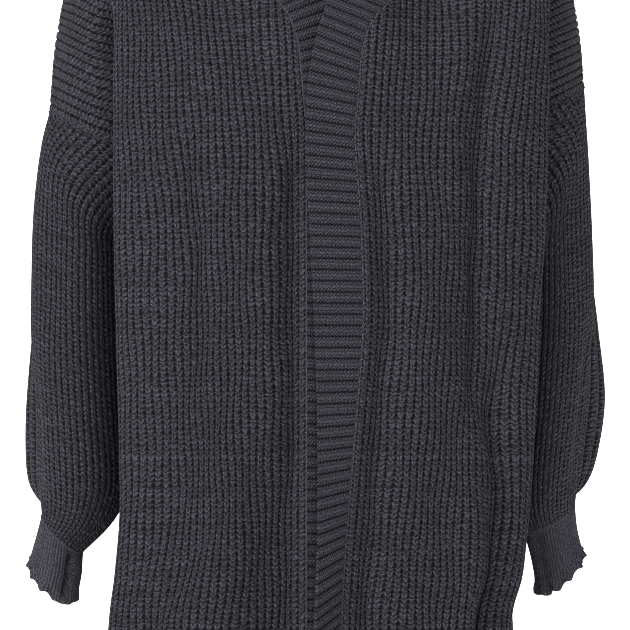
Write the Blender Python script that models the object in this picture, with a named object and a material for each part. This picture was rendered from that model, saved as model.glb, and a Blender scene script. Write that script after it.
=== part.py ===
"""Duster cardigan, worn open on a general figure: ribbed back and fronts with
drop shoulders, balloon sleeves gathered into short fluted cuffs, and one
crosswise-ribbed band up one front, round the neck and down the other.

Metres, +Z up. X runs across the wearer, the front faces -Y, and the origin
lies inside the neck, where the shoulders carry the cloth. Heights are
negative below the high shoulder points. RIGHT and LEFT are the wearer's.
"""
import bpy
import numpy as np

# Knit
WALL = 0.0026            # plain inside to the bottom of a groove
RIB_HEIGHT = 0.0019      # crest of a rib above its grooves
BAND_RIB_HEIGHT = 0.0022
CUFF_RIB_HEIGHT = 0.0009
CUFF_WALL = 0.0022
SEAM_GAP = 0.0003
LOOSE_PITCH = 0.0070     # ribs closer than this are flattened

# Ribs of each piece
FRONT_RIBS = 44          # centre front edge to side seam
BACK_RIBS = 42           # centre back to side seam, each half
FRONT_NECK_RIBS = 11     # ribs that end on the neck seam
BACK_NECK_RIBS = 13
FRONT_FOLD_RIB = 28      # the rib on the chest's edge, in front of the arm
BACK_FOLD_RIB = 28
SLEEVE_RIBS = 44
CUFF_RIBS = 36
BAND_RIB_PITCH = 0.0108
FRILL_WAVES = 13         # fluted edge of a cuff

# Body
HEM = -1.05
UNDERARM = -0.33
SIDE_SEAM_Y = 0.010
FOLD_RETURN = (0.20, 0.45)    # share of the side's ribs that turn in behind a fold edge
CREASE_Y = (0.052, 0.058)     # crease beside the arm: before and behind the side seam
CREASE_OUT = (0.012, 0.026)   # and this far outside the side seam's line
CREASE_WIDTH = 4.5       # ribs over which the chest turns into that crease
UNDERARM_LIFT = 0.0098   # in the armpit the sleeve starts this far off the panel
ARMPIT_COLUMNS = 10      # half ribs over which a panel's wall turns to face the arm
OVERLAP_STEP = 0.0072    # the left front lies this far before the right one
OVERLAP_RIBS = 11

# Depth of the body by height, the same on both sides
DEPTH = np.array([
    # height, front, back, front edge y, back edge y
    (-1.05, 0.137, 0.142, 0.070, 0.080),
    (-0.88, 0.134, 0.137, 0.071, 0.080),
    (-0.73, 0.130, 0.131, 0.072, 0.080),
    (-0.56, 0.127, 0.126, 0.076, 0.082),
    (-0.42, 0.129, 0.130, 0.078, 0.084),
    (-0.33, 0.130, 0.139, 0.077, 0.086),
    (-0.20, 0.118, 0.142, 0.077, 0.086),
    (-0.15, 0.106, 0.138, 0.073, 0.083),
    (-0.10, 0.088, 0.130, 0.066, 0.077),
])

# Width of the body by height, each side by itself
WIDTH = {
    "right": np.array([
        # height, centre front edge, front fold, side, back fold
        (-1.05, 0.012, 0.219, 0.222, 0.221),
        (-0.88, 0.012, 0.214, 0.216, 0.216),
        (-0.73, 0.012, 0.207, 0.205, 0.208),
        (-0.67, 0.012, 0.200, 0.193, 0.203),
        (-0.60, 0.012, 0.195, 0.181, 0.199),
        (-0.50, 0.012, 0.197, 0.177, 0.201),
        (-0.42, 0.012, 0.199, 0.176, 0.203),
        (-0.33, 0.012, 0.201, 0.176, 0.203),
        (-0.20, 0.017, 0.202, 0.179, 0.202),
        (-0.10, 0.043, 0.203, 0.189, 0.200),
    ]),
    "left": np.array([
        (-1.05, 0.022, 0.205, 0.210, 0.208),
        (-0.88, 0.021, 0.192, 0.200, 0.200),
        (-0.73, 0.0205, 0.186, 0.190, 0.196),
        (-0.67, 0.0225, 0.198, 0.186, 0.198),
        (-0.60, 0.028, 0.205, 0.181, 0.202),
        (-0.50, 0.0365, 0.211, 0.179, 0.206),
        (-0.42, 0.042, 0.214, 0.179, 0.207),
        (-0.33, 0.040, 0.220, 0.180, 0.206),
        (-0.20, 0.0375, 0.224, 0.184, 0.203),
        (-0.10, 0.068, 0.226, 0.192, 0.200),
    ]),
}

# Front neck seam by rib
FRONT_NECK = {
    "right": np.array([
        # rib, across, y, height
        (0, 0.0215, -0.1055, -0.150),
        (1, 0.0290, -0.0970, -0.125),
        (3, 0.0430, -0.0840, -0.103),
        (7, 0.0830, -0.0330, -0.045),
        (11, 0.1200, 0.0300, 0.000),
    ]),
    "left": np.array([
        (0, 0.0430, -0.1060, -0.155),
        (1, 0.0500, -0.0995, -0.131),
        (3, 0.0660, -0.0870, -0.108),
        (7, 0.0930, -0.0330, -0.047),
        (11, 0.1200, 0.0300, 0.000),
    ]),
}

# Back neck seam by rib
BACK_NECK = np.array([
    # rib, across, y, height
    (0, 0.000, 0.105, -0.022),
    (5, 0.047, 0.099, -0.020),
    (9, 0.084, 0.081, -0.013),
    (13, 0.120, 0.030, 0.000),
])

# Shoulder seam, from the neck to the top of the armhole
SHOULDER = {
    "right": np.array([
        # part of the seam, across, y, height
        (0.00, 0.120, 0.030, 0.000),
        (0.25, 0.188, 0.031, -0.021),
        (0.50, 0.249, 0.026, -0.071),
        (0.72, 0.264, 0.019, -0.124),
        (1.00, 0.272, 0.012, -0.209),
    ]),
    "left": np.array([
        (0.00, 0.120, 0.030, 0.000),
        (0.25, 0.188, 0.031, -0.021),
        (0.50, 0.245, 0.026, -0.066),
        (0.72, 0.259, 0.019, -0.113),
        (1.00, 0.2655, 0.012, -0.184),
    ]),
}

# Where the ribs turn from the chest or the back over the arm: front, then back
TURN_HEIGHT = {
    "right": np.array([
        # part of the piece's ribs, front height, back height
        (0.00, -0.235, -0.160),
        (0.27, -0.170, -0.140),
        (0.46, -0.122, -0.122),
        (0.62, -0.108, -0.108),
        (0.78, -0.160, -0.160),
        (1.00, -0.252, -0.252),
    ]),
    "left": np.array([
        (0.00, -0.235, -0.160),
        (0.27, -0.170, -0.140),
        (0.46, -0.118, -0.118),
        (0.62, -0.102, -0.102),
        (0.78, -0.143, -0.143),
        (1.00, -0.222, -0.230),
    ]),
}

# How far the cloth rounds out between that turn and the shoulder seam
ROUNDING = np.array([
    # part of the piece's ribs, rounding, share of it that is upward
    (0.00, 0.003, 0.10),
    (0.27, 0.014, 0.45),
    (0.46, 0.024, 0.60),
    (0.64, 0.022, 0.40),
    (0.75, 0.024, 0.15),
    (1.00, 0.024, 0.05),
])

# Soft folds: troughs are negative
FOLDS = {
    "front_right": [
        # rib, half width in ribs, depth, top, bottom
        (15.5, 2.6, -0.0045, -0.20, -0.50),
        (1.8, 2.6, -0.0035, -0.28, -0.60),
        (5.0, 3.2, -0.0070, -0.56, -1.12),
        (13.0, 3.4, 0.0070, -0.58, -1.12),
        (21.0, 2.8, -0.0055, -0.66, -1.12),
    ],
    "front_left": [
        (3.4, 2.8, -0.0050, -0.26, -0.80),
        (9.0, 3.2, 0.0045, -0.30, -0.78),
        (17.0, 2.8, -0.0060, -0.10, -0.56),
        (18.0, 3.0, 0.0065, -0.56, -1.12),
        (22.6, 2.4, -0.0085, -0.50, -0.84),
        (10.5, 3.2, -0.0050, -0.76, -1.12),
    ],
    "back": [
        (-19.0, 3.4, -0.0055, -0.26, -0.70),
        (-7.0, 3.6, 0.0055, -0.52, -1.12),
        (3.0, 3.2, -0.0060, -0.48, -1.12),
        (13.5, 3.8, 0.0055, -0.60, -1.12),
        (21.0, 3.0, -0.0060, -0.22, -0.62),
        (-15.0, 3.2, -0.0060, -0.70, -1.12),
    ],
    "sleeve_right": [
        (2.2, 2.2, -0.0050, -0.42, -0.64),
        (8.0, 3.0, -0.0040, -0.26, -0.46),
        (33.0, 3.4, -0.0050, -0.40, -0.62),
        (42.6, 1.6, -0.0050, -0.34, -0.61),
        (0.7, 1.2, 0.0020, -0.36, -0.60),
    ],
    "sleeve_left": [
        (3.4, 2.4, -0.0060, -0.38, -0.62),
        (9.0, 3.0, -0.0035, -0.24, -0.44),
        (33.0, 3.4, -0.0050, -0.38, -0.60),
        (42.6, 1.6, -0.0050, -0.32, -0.60),
        (0.7, 1.2, 0.0020, -0.34, -0.59),
    ],
}

# Where the ribs lean aside along the cloth, towards the centre front
SWAYS = {
    "front_right": [
        # rib, half width in ribs, shift, top, bottom
        (19.0, 6.0, -0.010, -0.20, -0.74),
        (23.0, 5.0, -0.012, -0.66, -1.02),
    ],
    "front_left": [
        (21.0, 6.0, -0.012, -0.10, -0.60),
        (14.0, 6.0, 0.008, -0.58, -1.02),
    ],
}

# Rings of a sleeve, from just below the armhole to the cuff seam
SLEEVE_RINGS = {
    "right": np.array([
        # outer across, outer height, inner across, inner height, y, half depth, back bulge,
        # front drop
        (0.2795, -0.242, 0.2060, -0.340, 0.012, 0.056, 0.000, 0.000),
        (0.2875, -0.305, 0.2070, -0.375, 0.015, 0.058, 0.002, 0.000),
        (0.2905, -0.380, 0.2060, -0.425, 0.018, 0.059, 0.006, 0.000),
        (0.2900, -0.450, 0.2040, -0.478, 0.021, 0.061, 0.016, 0.000),
        (0.2870, -0.520, 0.2010, -0.530, 0.024, 0.063, 0.026, 0.000),
        (0.2850, -0.578, 0.1975, -0.576, 0.024, 0.061, 0.027, 0.000),
        (0.2828, -0.601, 0.2030, -0.602, 0.022, 0.052, 0.018, 0.002),
        (0.2818, -0.613, 0.2180, -0.628, 0.019, 0.038, 0.004, 0.004),
        (0.2812, -0.620, 0.2450, -0.655, 0.017, 0.026, 0.000, 0.006),
    ]),
    "left": np.array([
        (0.2670, -0.218, 0.2080, -0.341, 0.012, 0.055, 0.000, 0.000),
        (0.2718, -0.290, 0.2080, -0.378, 0.018, 0.054, 0.003, 0.000),
        (0.2752, -0.370, 0.2070, -0.425, 0.021, 0.057, 0.010, 0.000),
        (0.2745, -0.430, 0.2050, -0.468, 0.024, 0.059, 0.020, 0.000),
        (0.2690, -0.500, 0.2020, -0.522, 0.026, 0.062, 0.034, 0.000),
        (0.2622, -0.562, 0.1985, -0.573, 0.026, 0.060, 0.031, 0.000),
        (0.2590, -0.590, 0.1990, -0.602, 0.024, 0.051, 0.020, 0.002),
        (0.2580, -0.602, 0.2030, -0.622, 0.021, 0.038, 0.005, 0.004),
        (0.2575, -0.609, 0.2105, -0.633, 0.019, 0.027, 0.000, 0.006),
    ]),
}

# Rings of a cuff below its seam
CUFF_RINGS = {
    "right": np.array([
        # outer across, outer height, inner across, inner height, y, half depth, front drop
        (0.2880, -0.646, 0.2455, -0.676, 0.016, 0.0265, 0.009),
        (0.2930, -0.663, 0.2485, -0.693, 0.015, 0.0280, 0.012),
        (0.2965, -0.671, 0.2500, -0.702, 0.015, 0.0300, 0.014),
    ]),
    "left": np.array([
        (0.2600, -0.633, 0.2180, -0.659, 0.018, 0.0265, 0.008),
        (0.2645, -0.652, 0.2225, -0.683, 0.017, 0.0280, 0.010),
        (0.2690, -0.661, 0.2225, -0.696, 0.017, 0.0300, 0.012),
    ]),
}

# Free edge of the band, by the length along its seam from the hem
BAND_EDGE = {
    "right": np.array([
        # along, across (towards this side), rise, set back
        (0.000, -0.034, 0.000, 0.006),
        (0.320, -0.034, 0.000, 0.006),
        (0.720, -0.036, 0.000, 0.005),
        (0.800, -0.036, 0.002, 0.004),
        (0.850, -0.034, 0.005, 0.005),
        (0.900, -0.026, 0.012, 0.007),
        (0.935, -0.012, 0.017, 0.011),
        (0.985, 0.008, 0.021, 0.012),
        (1.050, 0.044, 0.020, 0.006),
        (1.125, 0.080, 0.024, 0.000),
        (1.185, 0.069, 0.032, -0.022),
    ]),
    "left": np.array([
        (0.000, -0.006, 0.000, -0.016),
        (0.320, -0.008, -0.020, -0.022),
        (0.380, -0.005, -0.016, -0.017),
        (0.450, -0.003, -0.009, -0.009),
        (0.550, -0.0035, -0.002, -0.002),
        (0.720, -0.0105, 0.002, 0.000),
        (0.800, -0.0150, 0.006, 0.000),
        (0.850, -0.0125, 0.011, 0.002),
        (0.900, -0.0030, 0.018, 0.006),
        (0.935, 0.0080, 0.018, 0.010),
        (0.985, 0.0220, 0.021, 0.011),
        (1.050, 0.0520, 0.020, 0.005),
        (1.125, 0.0800, 0.024, 0.000),
        (1.185, 0.0690, 0.032, -0.022),
    ]),
}
BAND_BACK_EDGE = (0.0, 0.072, 0.016)     # free edge at the centre back
BAND_SEAM_GAP = 0.0005
BAND_CORNER_GAP = 0.0013                 # more where the band turns over a high shoulder point
BAND_CORNER_REACH = 0.020
BAND_NECK = 0.78                         # along the seam: from here up the inside is as fine as the face

# Ribs that carry a line of points on the plain inside
FRONT_INSIDE = (0, 1, 2, 3, 4, 5, 7, 9, 11, 13, 16, 18, 20, 23, 25, 27, 28, 29, 30, 31, 32, 34, 36,
                38, 40, 42, 44)
BACK_INSIDE = (0, 2, 4, 6, 8, 9, 10, 11, 12, 13, 14, 16, 19, 21, 23, 25, 27, 28, 29, 30, 31, 32,
               34, 36, 38, 40, 42)

CHARCOAL = (0.033, 0.032, 0.039, 1.0)
CHARCOAL_BAND = (0.029, 0.028, 0.035, 1.0)
CHARCOAL_CUFF = (0.035, 0.032, 0.041, 1.0)


def through(knots, values, at):
    """Smooth curve through values at knots: cubic pieces with averaged slopes."""
    knots = np.asarray(knots, float)
    values = np.asarray(values, float)
    at = np.clip(np.asarray(at, float), knots[0], knots[-1])
    step = np.diff(knots)
    shape = (-1,) + (1,) * (values.ndim - 1)
    chord = np.diff(values, axis=0) / step.reshape(shape)
    slope = np.empty_like(values)
    slope[0] = chord[0]
    slope[-1] = chord[-1]
    before = step[:-1].reshape(shape)
    after = step[1:].reshape(shape)
    slope[1:-1] = (chord[:-1] * after + chord[1:] * before) / (before + after)
    k = np.clip(np.searchsorted(knots, at, side="right") - 1, 0, len(step) - 1)
    more = (1,) * (values.ndim - 1)
    t = ((at - knots[k]) / step[k]).reshape(at.shape + more)
    h = step[k].reshape(at.shape + more)
    a = values[k]
    b = values[k + 1]
    return (a * (1 + 2 * t) * (1 - t) ** 2 + b * t * t * (3 - 2 * t)
            + h * (slope[k] * t * (1 - t) ** 2 - slope[k + 1] * t * t * (1 - t)))


def ease(t):
    """Soft step from 0 to 1."""
    t = np.clip(t, 0, 1)
    return t * t * (3 - 2 * t)


def unit(vectors):
    """Vectors scaled to length 1."""
    return vectors / np.maximum(np.linalg.norm(vectors, axis=-1, keepdims=True), 1e-12)


def column(table, name_index, at):
    """One named column of a table whose first column is the knot."""
    return through(table[:, 0], table[:, name_index], at)


def section(side, rib, height, face):
    """Body's level section at a rib: an ellipse from the centre to the fold edge,
    then in behind that edge to the side seam. Returns across and y."""
    rib, height = np.broadcast_arrays(np.asarray(rib, float), np.asarray(height, float))
    front = face == "front"
    fold_rib = FRONT_FOLD_RIB if front else BACK_FOLD_RIB
    ribs = FRONT_RIBS if front else BACK_RIBS
    turn_in = FOLD_RETURN[0 if front else 1]
    sizes = WIDTH[side]
    centre = column(sizes, 1, height) if front else np.zeros_like(height)
    fold = column(sizes, 2 if front else 4, height)
    seam = column(sizes, 3, height)
    depth = column(DEPTH, 1 if front else 2, height)
    edge_depth = column(DEPTH, 3 if front else 4, height)
    part = np.clip(rib / fold_rib, 0, 1)
    across = centre + (fold - centre) * (1.1 * part - 0.1 * part ** 11)
    reach = np.clip(across / fold, 0, 1)
    y = edge_depth + (depth - edge_depth) * (1 - reach ** 2.2) ** (1 / 2.2)
    if front and side == "left":
        y = y + OVERLAP_STEP * (1 - ease(rib / OVERLAP_RIBS))
    way = np.clip((rib - fold_rib) / (ribs - fold_rib), 0, 1)
    across = np.where(way > 0, seam + (fold - seam) * np.exp(-(way / turn_in) ** 2), across)
    sign = -1 if front else 1
    back_way = way ** 1.5
    y = np.where(way > 0, edge_depth * (1 - back_way) + sign * SIDE_SEAM_Y * back_way, y)
    return across, sign * (y + SEAM_GAP / 2 * way)


def shoulder(side, part):
    """Point of the shoulder seam, as across, y and height."""
    table = SHOULDER[side]
    return through(table[:, 0], table[:, 1:], part)


def top_edge(side, rib, face):
    """Where a rib ends: on the neck seam, or on the shoulder seam."""
    front = face == "front"
    neck_ribs = FRONT_NECK_RIBS if front else BACK_NECK_RIBS
    ribs = FRONT_RIBS if front else BACK_RIBS
    neck = FRONT_NECK[side] if front else BACK_NECK
    on_neck = through(neck[:, 0], neck[:, 1:], rib)
    if front and side == "left":
        on_neck[..., 1] -= OVERLAP_STEP * (1 - ease(np.asarray(rib) / neck_ribs))
    on_shoulder = shoulder(side, (rib - neck_ribs) / (ribs - neck_ribs))
    gap = -SEAM_GAP / 2 if front else SEAM_GAP / 2
    on_shoulder = on_shoulder + np.array((0, gap, 0))
    return np.where((rib < neck_ribs)[..., None], on_neck, on_shoulder)


def panel_rows(side, rib, face):
    """Control rows of a front or of half the back, hem first: across, y, height."""
    front = face == "front"
    ribs = FRONT_RIBS if front else BACK_RIBS
    fold_rib = FRONT_FOLD_RIB if front else BACK_FOLD_RIB
    sign = -1 if front else 1
    crease_y = CREASE_Y[0 if front else 1]
    crease_out = CREASE_OUT[0 if front else 1]
    rib = np.asarray(rib, float)
    rows = []
    for height in WIDTH[side][:8, 0]:
        across, y = section(side, rib, height, face)
        rows.append(np.stack([across, y, np.full_like(rib, height)], -1))
    turn = column(TURN_HEIGHT[side], 1 if front else 2, rib / ribs)
    arm = ease((rib - fold_rib + 1) / CREASE_WIDTH)
    way = np.clip((rib - fold_rib) / (ribs - fold_rib), 0, 1)
    half_height = (turn + UNDERARM) / 2
    across, y = section(side, rib, half_height, face)
    y = y + sign * 0.55 * crease_y * way ** 2
    rows.append(np.stack([across, y, half_height], -1))
    across, y = section(side, rib, turn, face)
    crease_across = column(WIDTH[side], 3, turn) + crease_out
    across = across * (1 - arm) + crease_across * arm
    y = y * (1 - arm) + (SIDE_SEAM_Y + sign * crease_y) * arm
    at_turn = np.stack([across, y, turn], -1)
    rows.append(at_turn)
    end = top_edge(side, rib, face)
    rounding = column(ROUNDING, 1, rib / ribs)
    upward = column(ROUNDING, 2, rib / ribs)
    out = np.stack([0.25 * arm, sign * np.sqrt(1 - upward ** 2), upward], -1)
    for share, swell in ((0.36, 0.95), (0.70, 0.85)):
        rows.append(at_turn + (end - at_turn) * share + out * (rounding * swell)[..., None])
    rows.append(end)
    return np.stack(rows)


# Rows of the solids: places among the control rows, hem 0, underarm 7, seam 12
PANEL_ROWS = (0, 1.9, 3.85, 5.5, 7, 8, 9, 10, 11, 12)


def mirror(points, side):
    """Across the wearer becomes X: minus on the right, plus on the left."""
    points = points.copy()
    points[..., 0] *= -1 if side == "right" else 1
    return points


def surface_normals(points, closed=False):
    """Unit normals of a grid of points, rows by columns."""
    down = np.gradient(points, axis=0)
    if closed:
        along = np.roll(points, -1, axis=1) - np.roll(points, 1, axis=1)
    else:
        along = np.gradient(points, axis=1)
    return unit(np.cross(along, down))


def folded(points, ribs, name, closed=0):
    """Points moved along their normals by the soft folds of one piece."""
    normal = surface_normals(points, bool(closed))
    normal *= np.where(points[..., :1] * 0 + outward_sign(points, normal) > 0, 1, -1)
    moved = points.copy()
    for at, half, depth, top, bottom in FOLDS.get(name, ()):
        far = np.abs(ribs - at)
        if closed:
            far = np.minimum(far, closed - far)
        across = np.exp(-(far / half) ** 2)
        z = points[..., 2]
        ends = ease((top - z) / 0.10) * ease((z - bottom) / 0.07)
        moved += normal * (depth * across * ends)[..., None]
    sideways = unit(np.gradient(points, axis=1))
    for at, half, shift, top, bottom in SWAYS.get(name, ()):
        across = np.exp(-((ribs - at) / half) ** 2) * ease(ribs / 4)
        z = points[..., 2]
        ends = ease((top - z) / 0.16) * ease((z - bottom) / 0.10)
        moved += sideways * (shift * across * ends)[..., None]
    return moved


def outward_sign(points, normal):
    """+1 where the normals of a piece point away from its middle, taken as a whole."""
    middle = points.reshape(-1, 3).mean(0) * np.array((1, 1, 0)) + np.array((0, 0.01, 0))
    away = points - middle
    away[..., 2] = 0
    return np.sign((unit(away) * normal).sum())


def rib_relief(ribs, height):
    """Height of a rib's crest over the grooves, which lie at whole numbers."""
    return height * np.abs(np.sin(np.pi * ribs))


def crowding(points, closed=False):
    """Share of its height that a rib keeps where the ribs lie close together."""
    if closed:
        across = np.roll(points, -1, axis=1) - np.roll(points, 1, axis=1)
    else:
        across = np.gradient(points, axis=1) * 2
    down = unit(np.gradient(points, axis=0))
    pitch = np.linalg.norm(np.cross(across, down), axis=2)
    return np.clip(pitch / LOOSE_PITCH * 1.25 - 0.25, 0.1, 1)


def calmed(points, normal, thick):
    """Outward directions turned towards their neighbours' wherever the wall would
    cross itself in a tight crease. The two end columns keep theirs."""
    normal = normal.copy()
    for _ in range(12):
        outside = points + normal * thick[..., None]
        step = np.diff(points, axis=1)
        turned = (np.diff(outside, axis=1) * step).sum(-1) < 0.3 * (step ** 2).sum(-1)
        tight = turned[:, 1:] | turned[:, :-1]
        mean = unit(normal[:, 2:] + normal[:, 1:-1] + normal[:, :-2])
        normal[:, 1:-1] = np.where(tight[..., None], mean, normal[:, 1:-1])
    return normal


def solid(name, inside, outside, inner_columns, colour, closed=False):
    """One closed wall from a grid of inside points and one of outside points, two
    columns to a rib, groove first. The plain inside keeps only some of the groove
    columns, so its cells are wider."""
    rows, columns = outside.shape[:2]
    inner = inside[:, inner_columns]
    wide = len(inner_columns)
    points = np.concatenate([outside.reshape(-1, 3), inner.reshape(-1, 3)])
    base = rows * columns
    faces = []

    def out(r, c):
        return r * columns + c % columns

    def core(r, k):
        return base + r * wide + k % wide

    cells = columns if closed else columns - 1
    wide_cells = wide if closed else wide - 1
    for r in range(rows - 1):
        for c in range(cells):
            faces.append((out(r, c), out(r, c + 1), out(r + 1, c + 1), out(r + 1, c)))
        for k in range(wide_cells):
            faces.append((core(r, k), core(r + 1, k), core(r + 1, k + 1), core(r, k + 1)))
    ends = list(inner_columns) + ([columns] if closed else [])
    for r, low in ((0, True), (rows - 1, False)):
        for k in range(wide_cells):
            first, last = ends[k], ends[k + 1]
            middle = first + (last - first) // 4 * 2
            fan = [(core(r, k), core(r, k + 1), out(r, middle))]
            for groove in range(first, last, 2):
                near = k if groove < middle else k + 1
                fan.append((out(r, groove + 2), out(r, groove), core(r, near)))
                fan.append((out(r, groove + 2), out(r, groove + 1), out(r, groove)))
            faces += fan if low else [face[::-1] for face in fan]
    if not closed:
        for r in range(rows - 1):
            faces.append((out(r, 0), out(r + 1, 0), core(r + 1, 0), core(r, 0)))
            c, k = columns - 1, wide - 1
            faces.append((out(r, c), core(r, k), core(r + 1, k), out(r + 1, c)))
    mesh = bpy.data.meshes.new(name)
    mesh.from_pydata(points.tolist(), [], faces)
    if signed_volume(mesh) < 0:
        mesh.flip_normals()
    mesh.shade_smooth()
    mesh.set_sharp_from_angle(angle=np.radians(50))
    mesh.materials.append(colour)
    thing = bpy.data.objects.new(name, mesh)
    bpy.context.scene.collection.objects.link(thing)
    return thing


def signed_volume(mesh):
    """Volume inside a mesh, negative where its faces point in."""
    mesh.calc_loop_triangles()
    co = np.empty(len(mesh.vertices) * 3)
    mesh.vertices.foreach_get("co", co)
    tri = np.empty(len(mesh.loop_triangles) * 3, int)
    mesh.loop_triangles.foreach_get("vertices", tri)
    a, b, c = co.reshape(-1, 3)[tri.reshape(-1, 3)].transpose(1, 0, 2)
    return (np.cross(a, b) * c).sum() / 6


def knit(name, colour, roughness=0.92):
    """Material of a knitted piece."""
    made = bpy.data.materials.new(name)
    made.use_nodes = True
    shader = made.node_tree.nodes["Principled BSDF"]
    shader.inputs["Base Color"].default_value = colour
    shader.inputs["Roughness"].default_value = roughness
    shader.inputs["Metallic"].default_value = 0.0
    return made


def sleeve_direction(side):
    """The way the sleeve leaves the armhole: outward and down."""
    return mirror(np.array((0.78, 0.0, -0.62)), side)


def armhole(side, front_edge, back_edge, front_normal, back_normal):
    """Armhole seam as a loop: shoulder, front, underarm, back. For each point it
    gives the angle round the sleeve, the place, the panel's outward direction there,
    the sleeve's, and how far the two agree, from 0 in the armpit to 1."""
    place = np.concatenate([front_edge[::-1], back_edge[1:]])
    panel_normal = np.concatenate([front_normal[::-1], back_normal[1:]])
    centre = (place.min(0) + place.max(0)) / 2
    axis = sleeve_direction(side)
    away = place - centre
    away = unit(away - (away @ axis)[:, None] * axis)
    agree = ease((panel_normal * away).sum(1) / 0.5 - 0.6)[:, None]
    on_panel = unit(panel_normal + away * agree)
    on_sleeve = unit(away + panel_normal * agree)
    half = len(front_edge)
    way = np.concatenate([[0], np.cumsum(np.linalg.norm(np.diff(place, axis=0), axis=1))])
    angle = np.where(np.arange(len(way)) < half, way / way[half - 1] * np.pi,
                     np.pi + (way - way[half - 1]) / (way[-1] - way[half - 1]) * np.pi)
    start = place + axis * SEAM_GAP + panel_normal * (1 - agree) * UNDERARM_LIFT
    return angle, start, on_panel, on_sleeve


def panel(side, face, ribs):
    """Inside points of a front or half the back, as world points."""
    rows = panel_rows(side, np.abs(ribs), face)
    return through(np.arange(len(rows)), mirror(rows, side), np.array(PANEL_ROWS))


def build_panels(material):
    """Both fronts and the back, with the armhole seams that the sleeves share."""
    ribs = np.arange(2 * FRONT_RIBS + 1) / 2
    grids = {}
    for side in ("right", "left"):
        base = panel(side, "front", ribs)
        grids[f"front_{side}"] = (folded(base, ribs, f"front_{side}"), ribs)
    back_ribs = np.arange(-2 * BACK_RIBS, 2 * BACK_RIBS + 1) / 2
    halves = [panel("right", "back", back_ribs[back_ribs < 0]),
              panel("left", "back", back_ribs[back_ribs >= 0])]
    back = folded(np.concatenate(halves, axis=1), back_ribs, "back")
    grids["back"] = (back, back_ribs)
    normals = {}
    for name, (points, _) in grids.items():
        normal = surface_normals(points)
        normals[name] = normal * outward_sign(points, normal)
    thickness = {name: WALL + rib_relief(columns, RIB_HEIGHT) * crowding(points)
                 for name, (points, columns) in grids.items()}
    loops = {}
    start = PANEL_ROWS.index(7)
    for side in ("right", "left"):
        front = f"front_{side}"
        end = 0 if side == "right" else -1
        share_shoulder(grids, normals, side)
        side_seam = mirror(np.array((1.0, 0, 0)), side)
        for rows in range(start):
            normals[front][rows, -1] = side_seam
            normals["back"][rows, end] = side_seam
        normals[front][start, -1] = side_seam
        normals["back"][start, end] = side_seam
        for name, step, sign in ((front, -1, -1), ("back", 1 if side == "right" else -1, 1)):
            armpit = unit(side_seam * 0.8 + np.array((0, 0.6 * sign, 0)))
            first = 0 if step == 1 else -1
            for column_in in range(ARMPIT_COLUMNS):
                place = first + step * column_in
                share = 1 - ease(column_in / ARMPIT_COLUMNS)
                own = normals[name][start + 1, place]
                normals[name][start + 1, place] = unit(own * (1 - share) + armpit * share)
        loop = armhole(side, grids[front][0][start:, -1], grids["back"][0][start:, end],
                       normals[front][start:, -1], normals["back"][start:, end])
        loops[side] = loop
        half = len(PANEL_ROWS) - start
        normals[front][start:, -1] = loop[2][:half][::-1]
        normals["back"][start:, end] = loop[2][half - 1:]
    inner = {"front_right": [2 * r for r in FRONT_INSIDE],
             "front_left": [2 * r for r in FRONT_INSIDE],
             "back": sorted({2 * (BACK_RIBS + s * r) for r in BACK_INSIDE for s in (-1, 1)})}
    for name, (points, _) in grids.items():
        normals[name] = calmed(points, normals[name], thickness[name])
        outside = points + normals[name] * thickness[name][..., None]
        solid(name, points, outside, inner[name], material)
    return grids, normals, loops


def share_shoulder(grids, normals, side):
    """The front and the back end on the shoulder seam with one outward direction."""
    for name, neck_ribs in ((f"front_{side}", FRONT_NECK_RIBS), ("back", BACK_NECK_RIBS)):
        points, ribs = grids[name]
        here = (np.abs(ribs) >= neck_ribs - 0.01) & ((ribs > 0) | (name != "back"))
        if name == "back" and side == "right":
            here = ribs <= -neck_ribs + 0.01
        seam = points[-1]
        tangent = np.gradient(seam, axis=0)
        up = np.cross(tangent, (0, 1, 0))
        up = unit(up * np.sign(up[:, 2:3]))
        normals[name][-1, here] = up[here]


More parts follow.
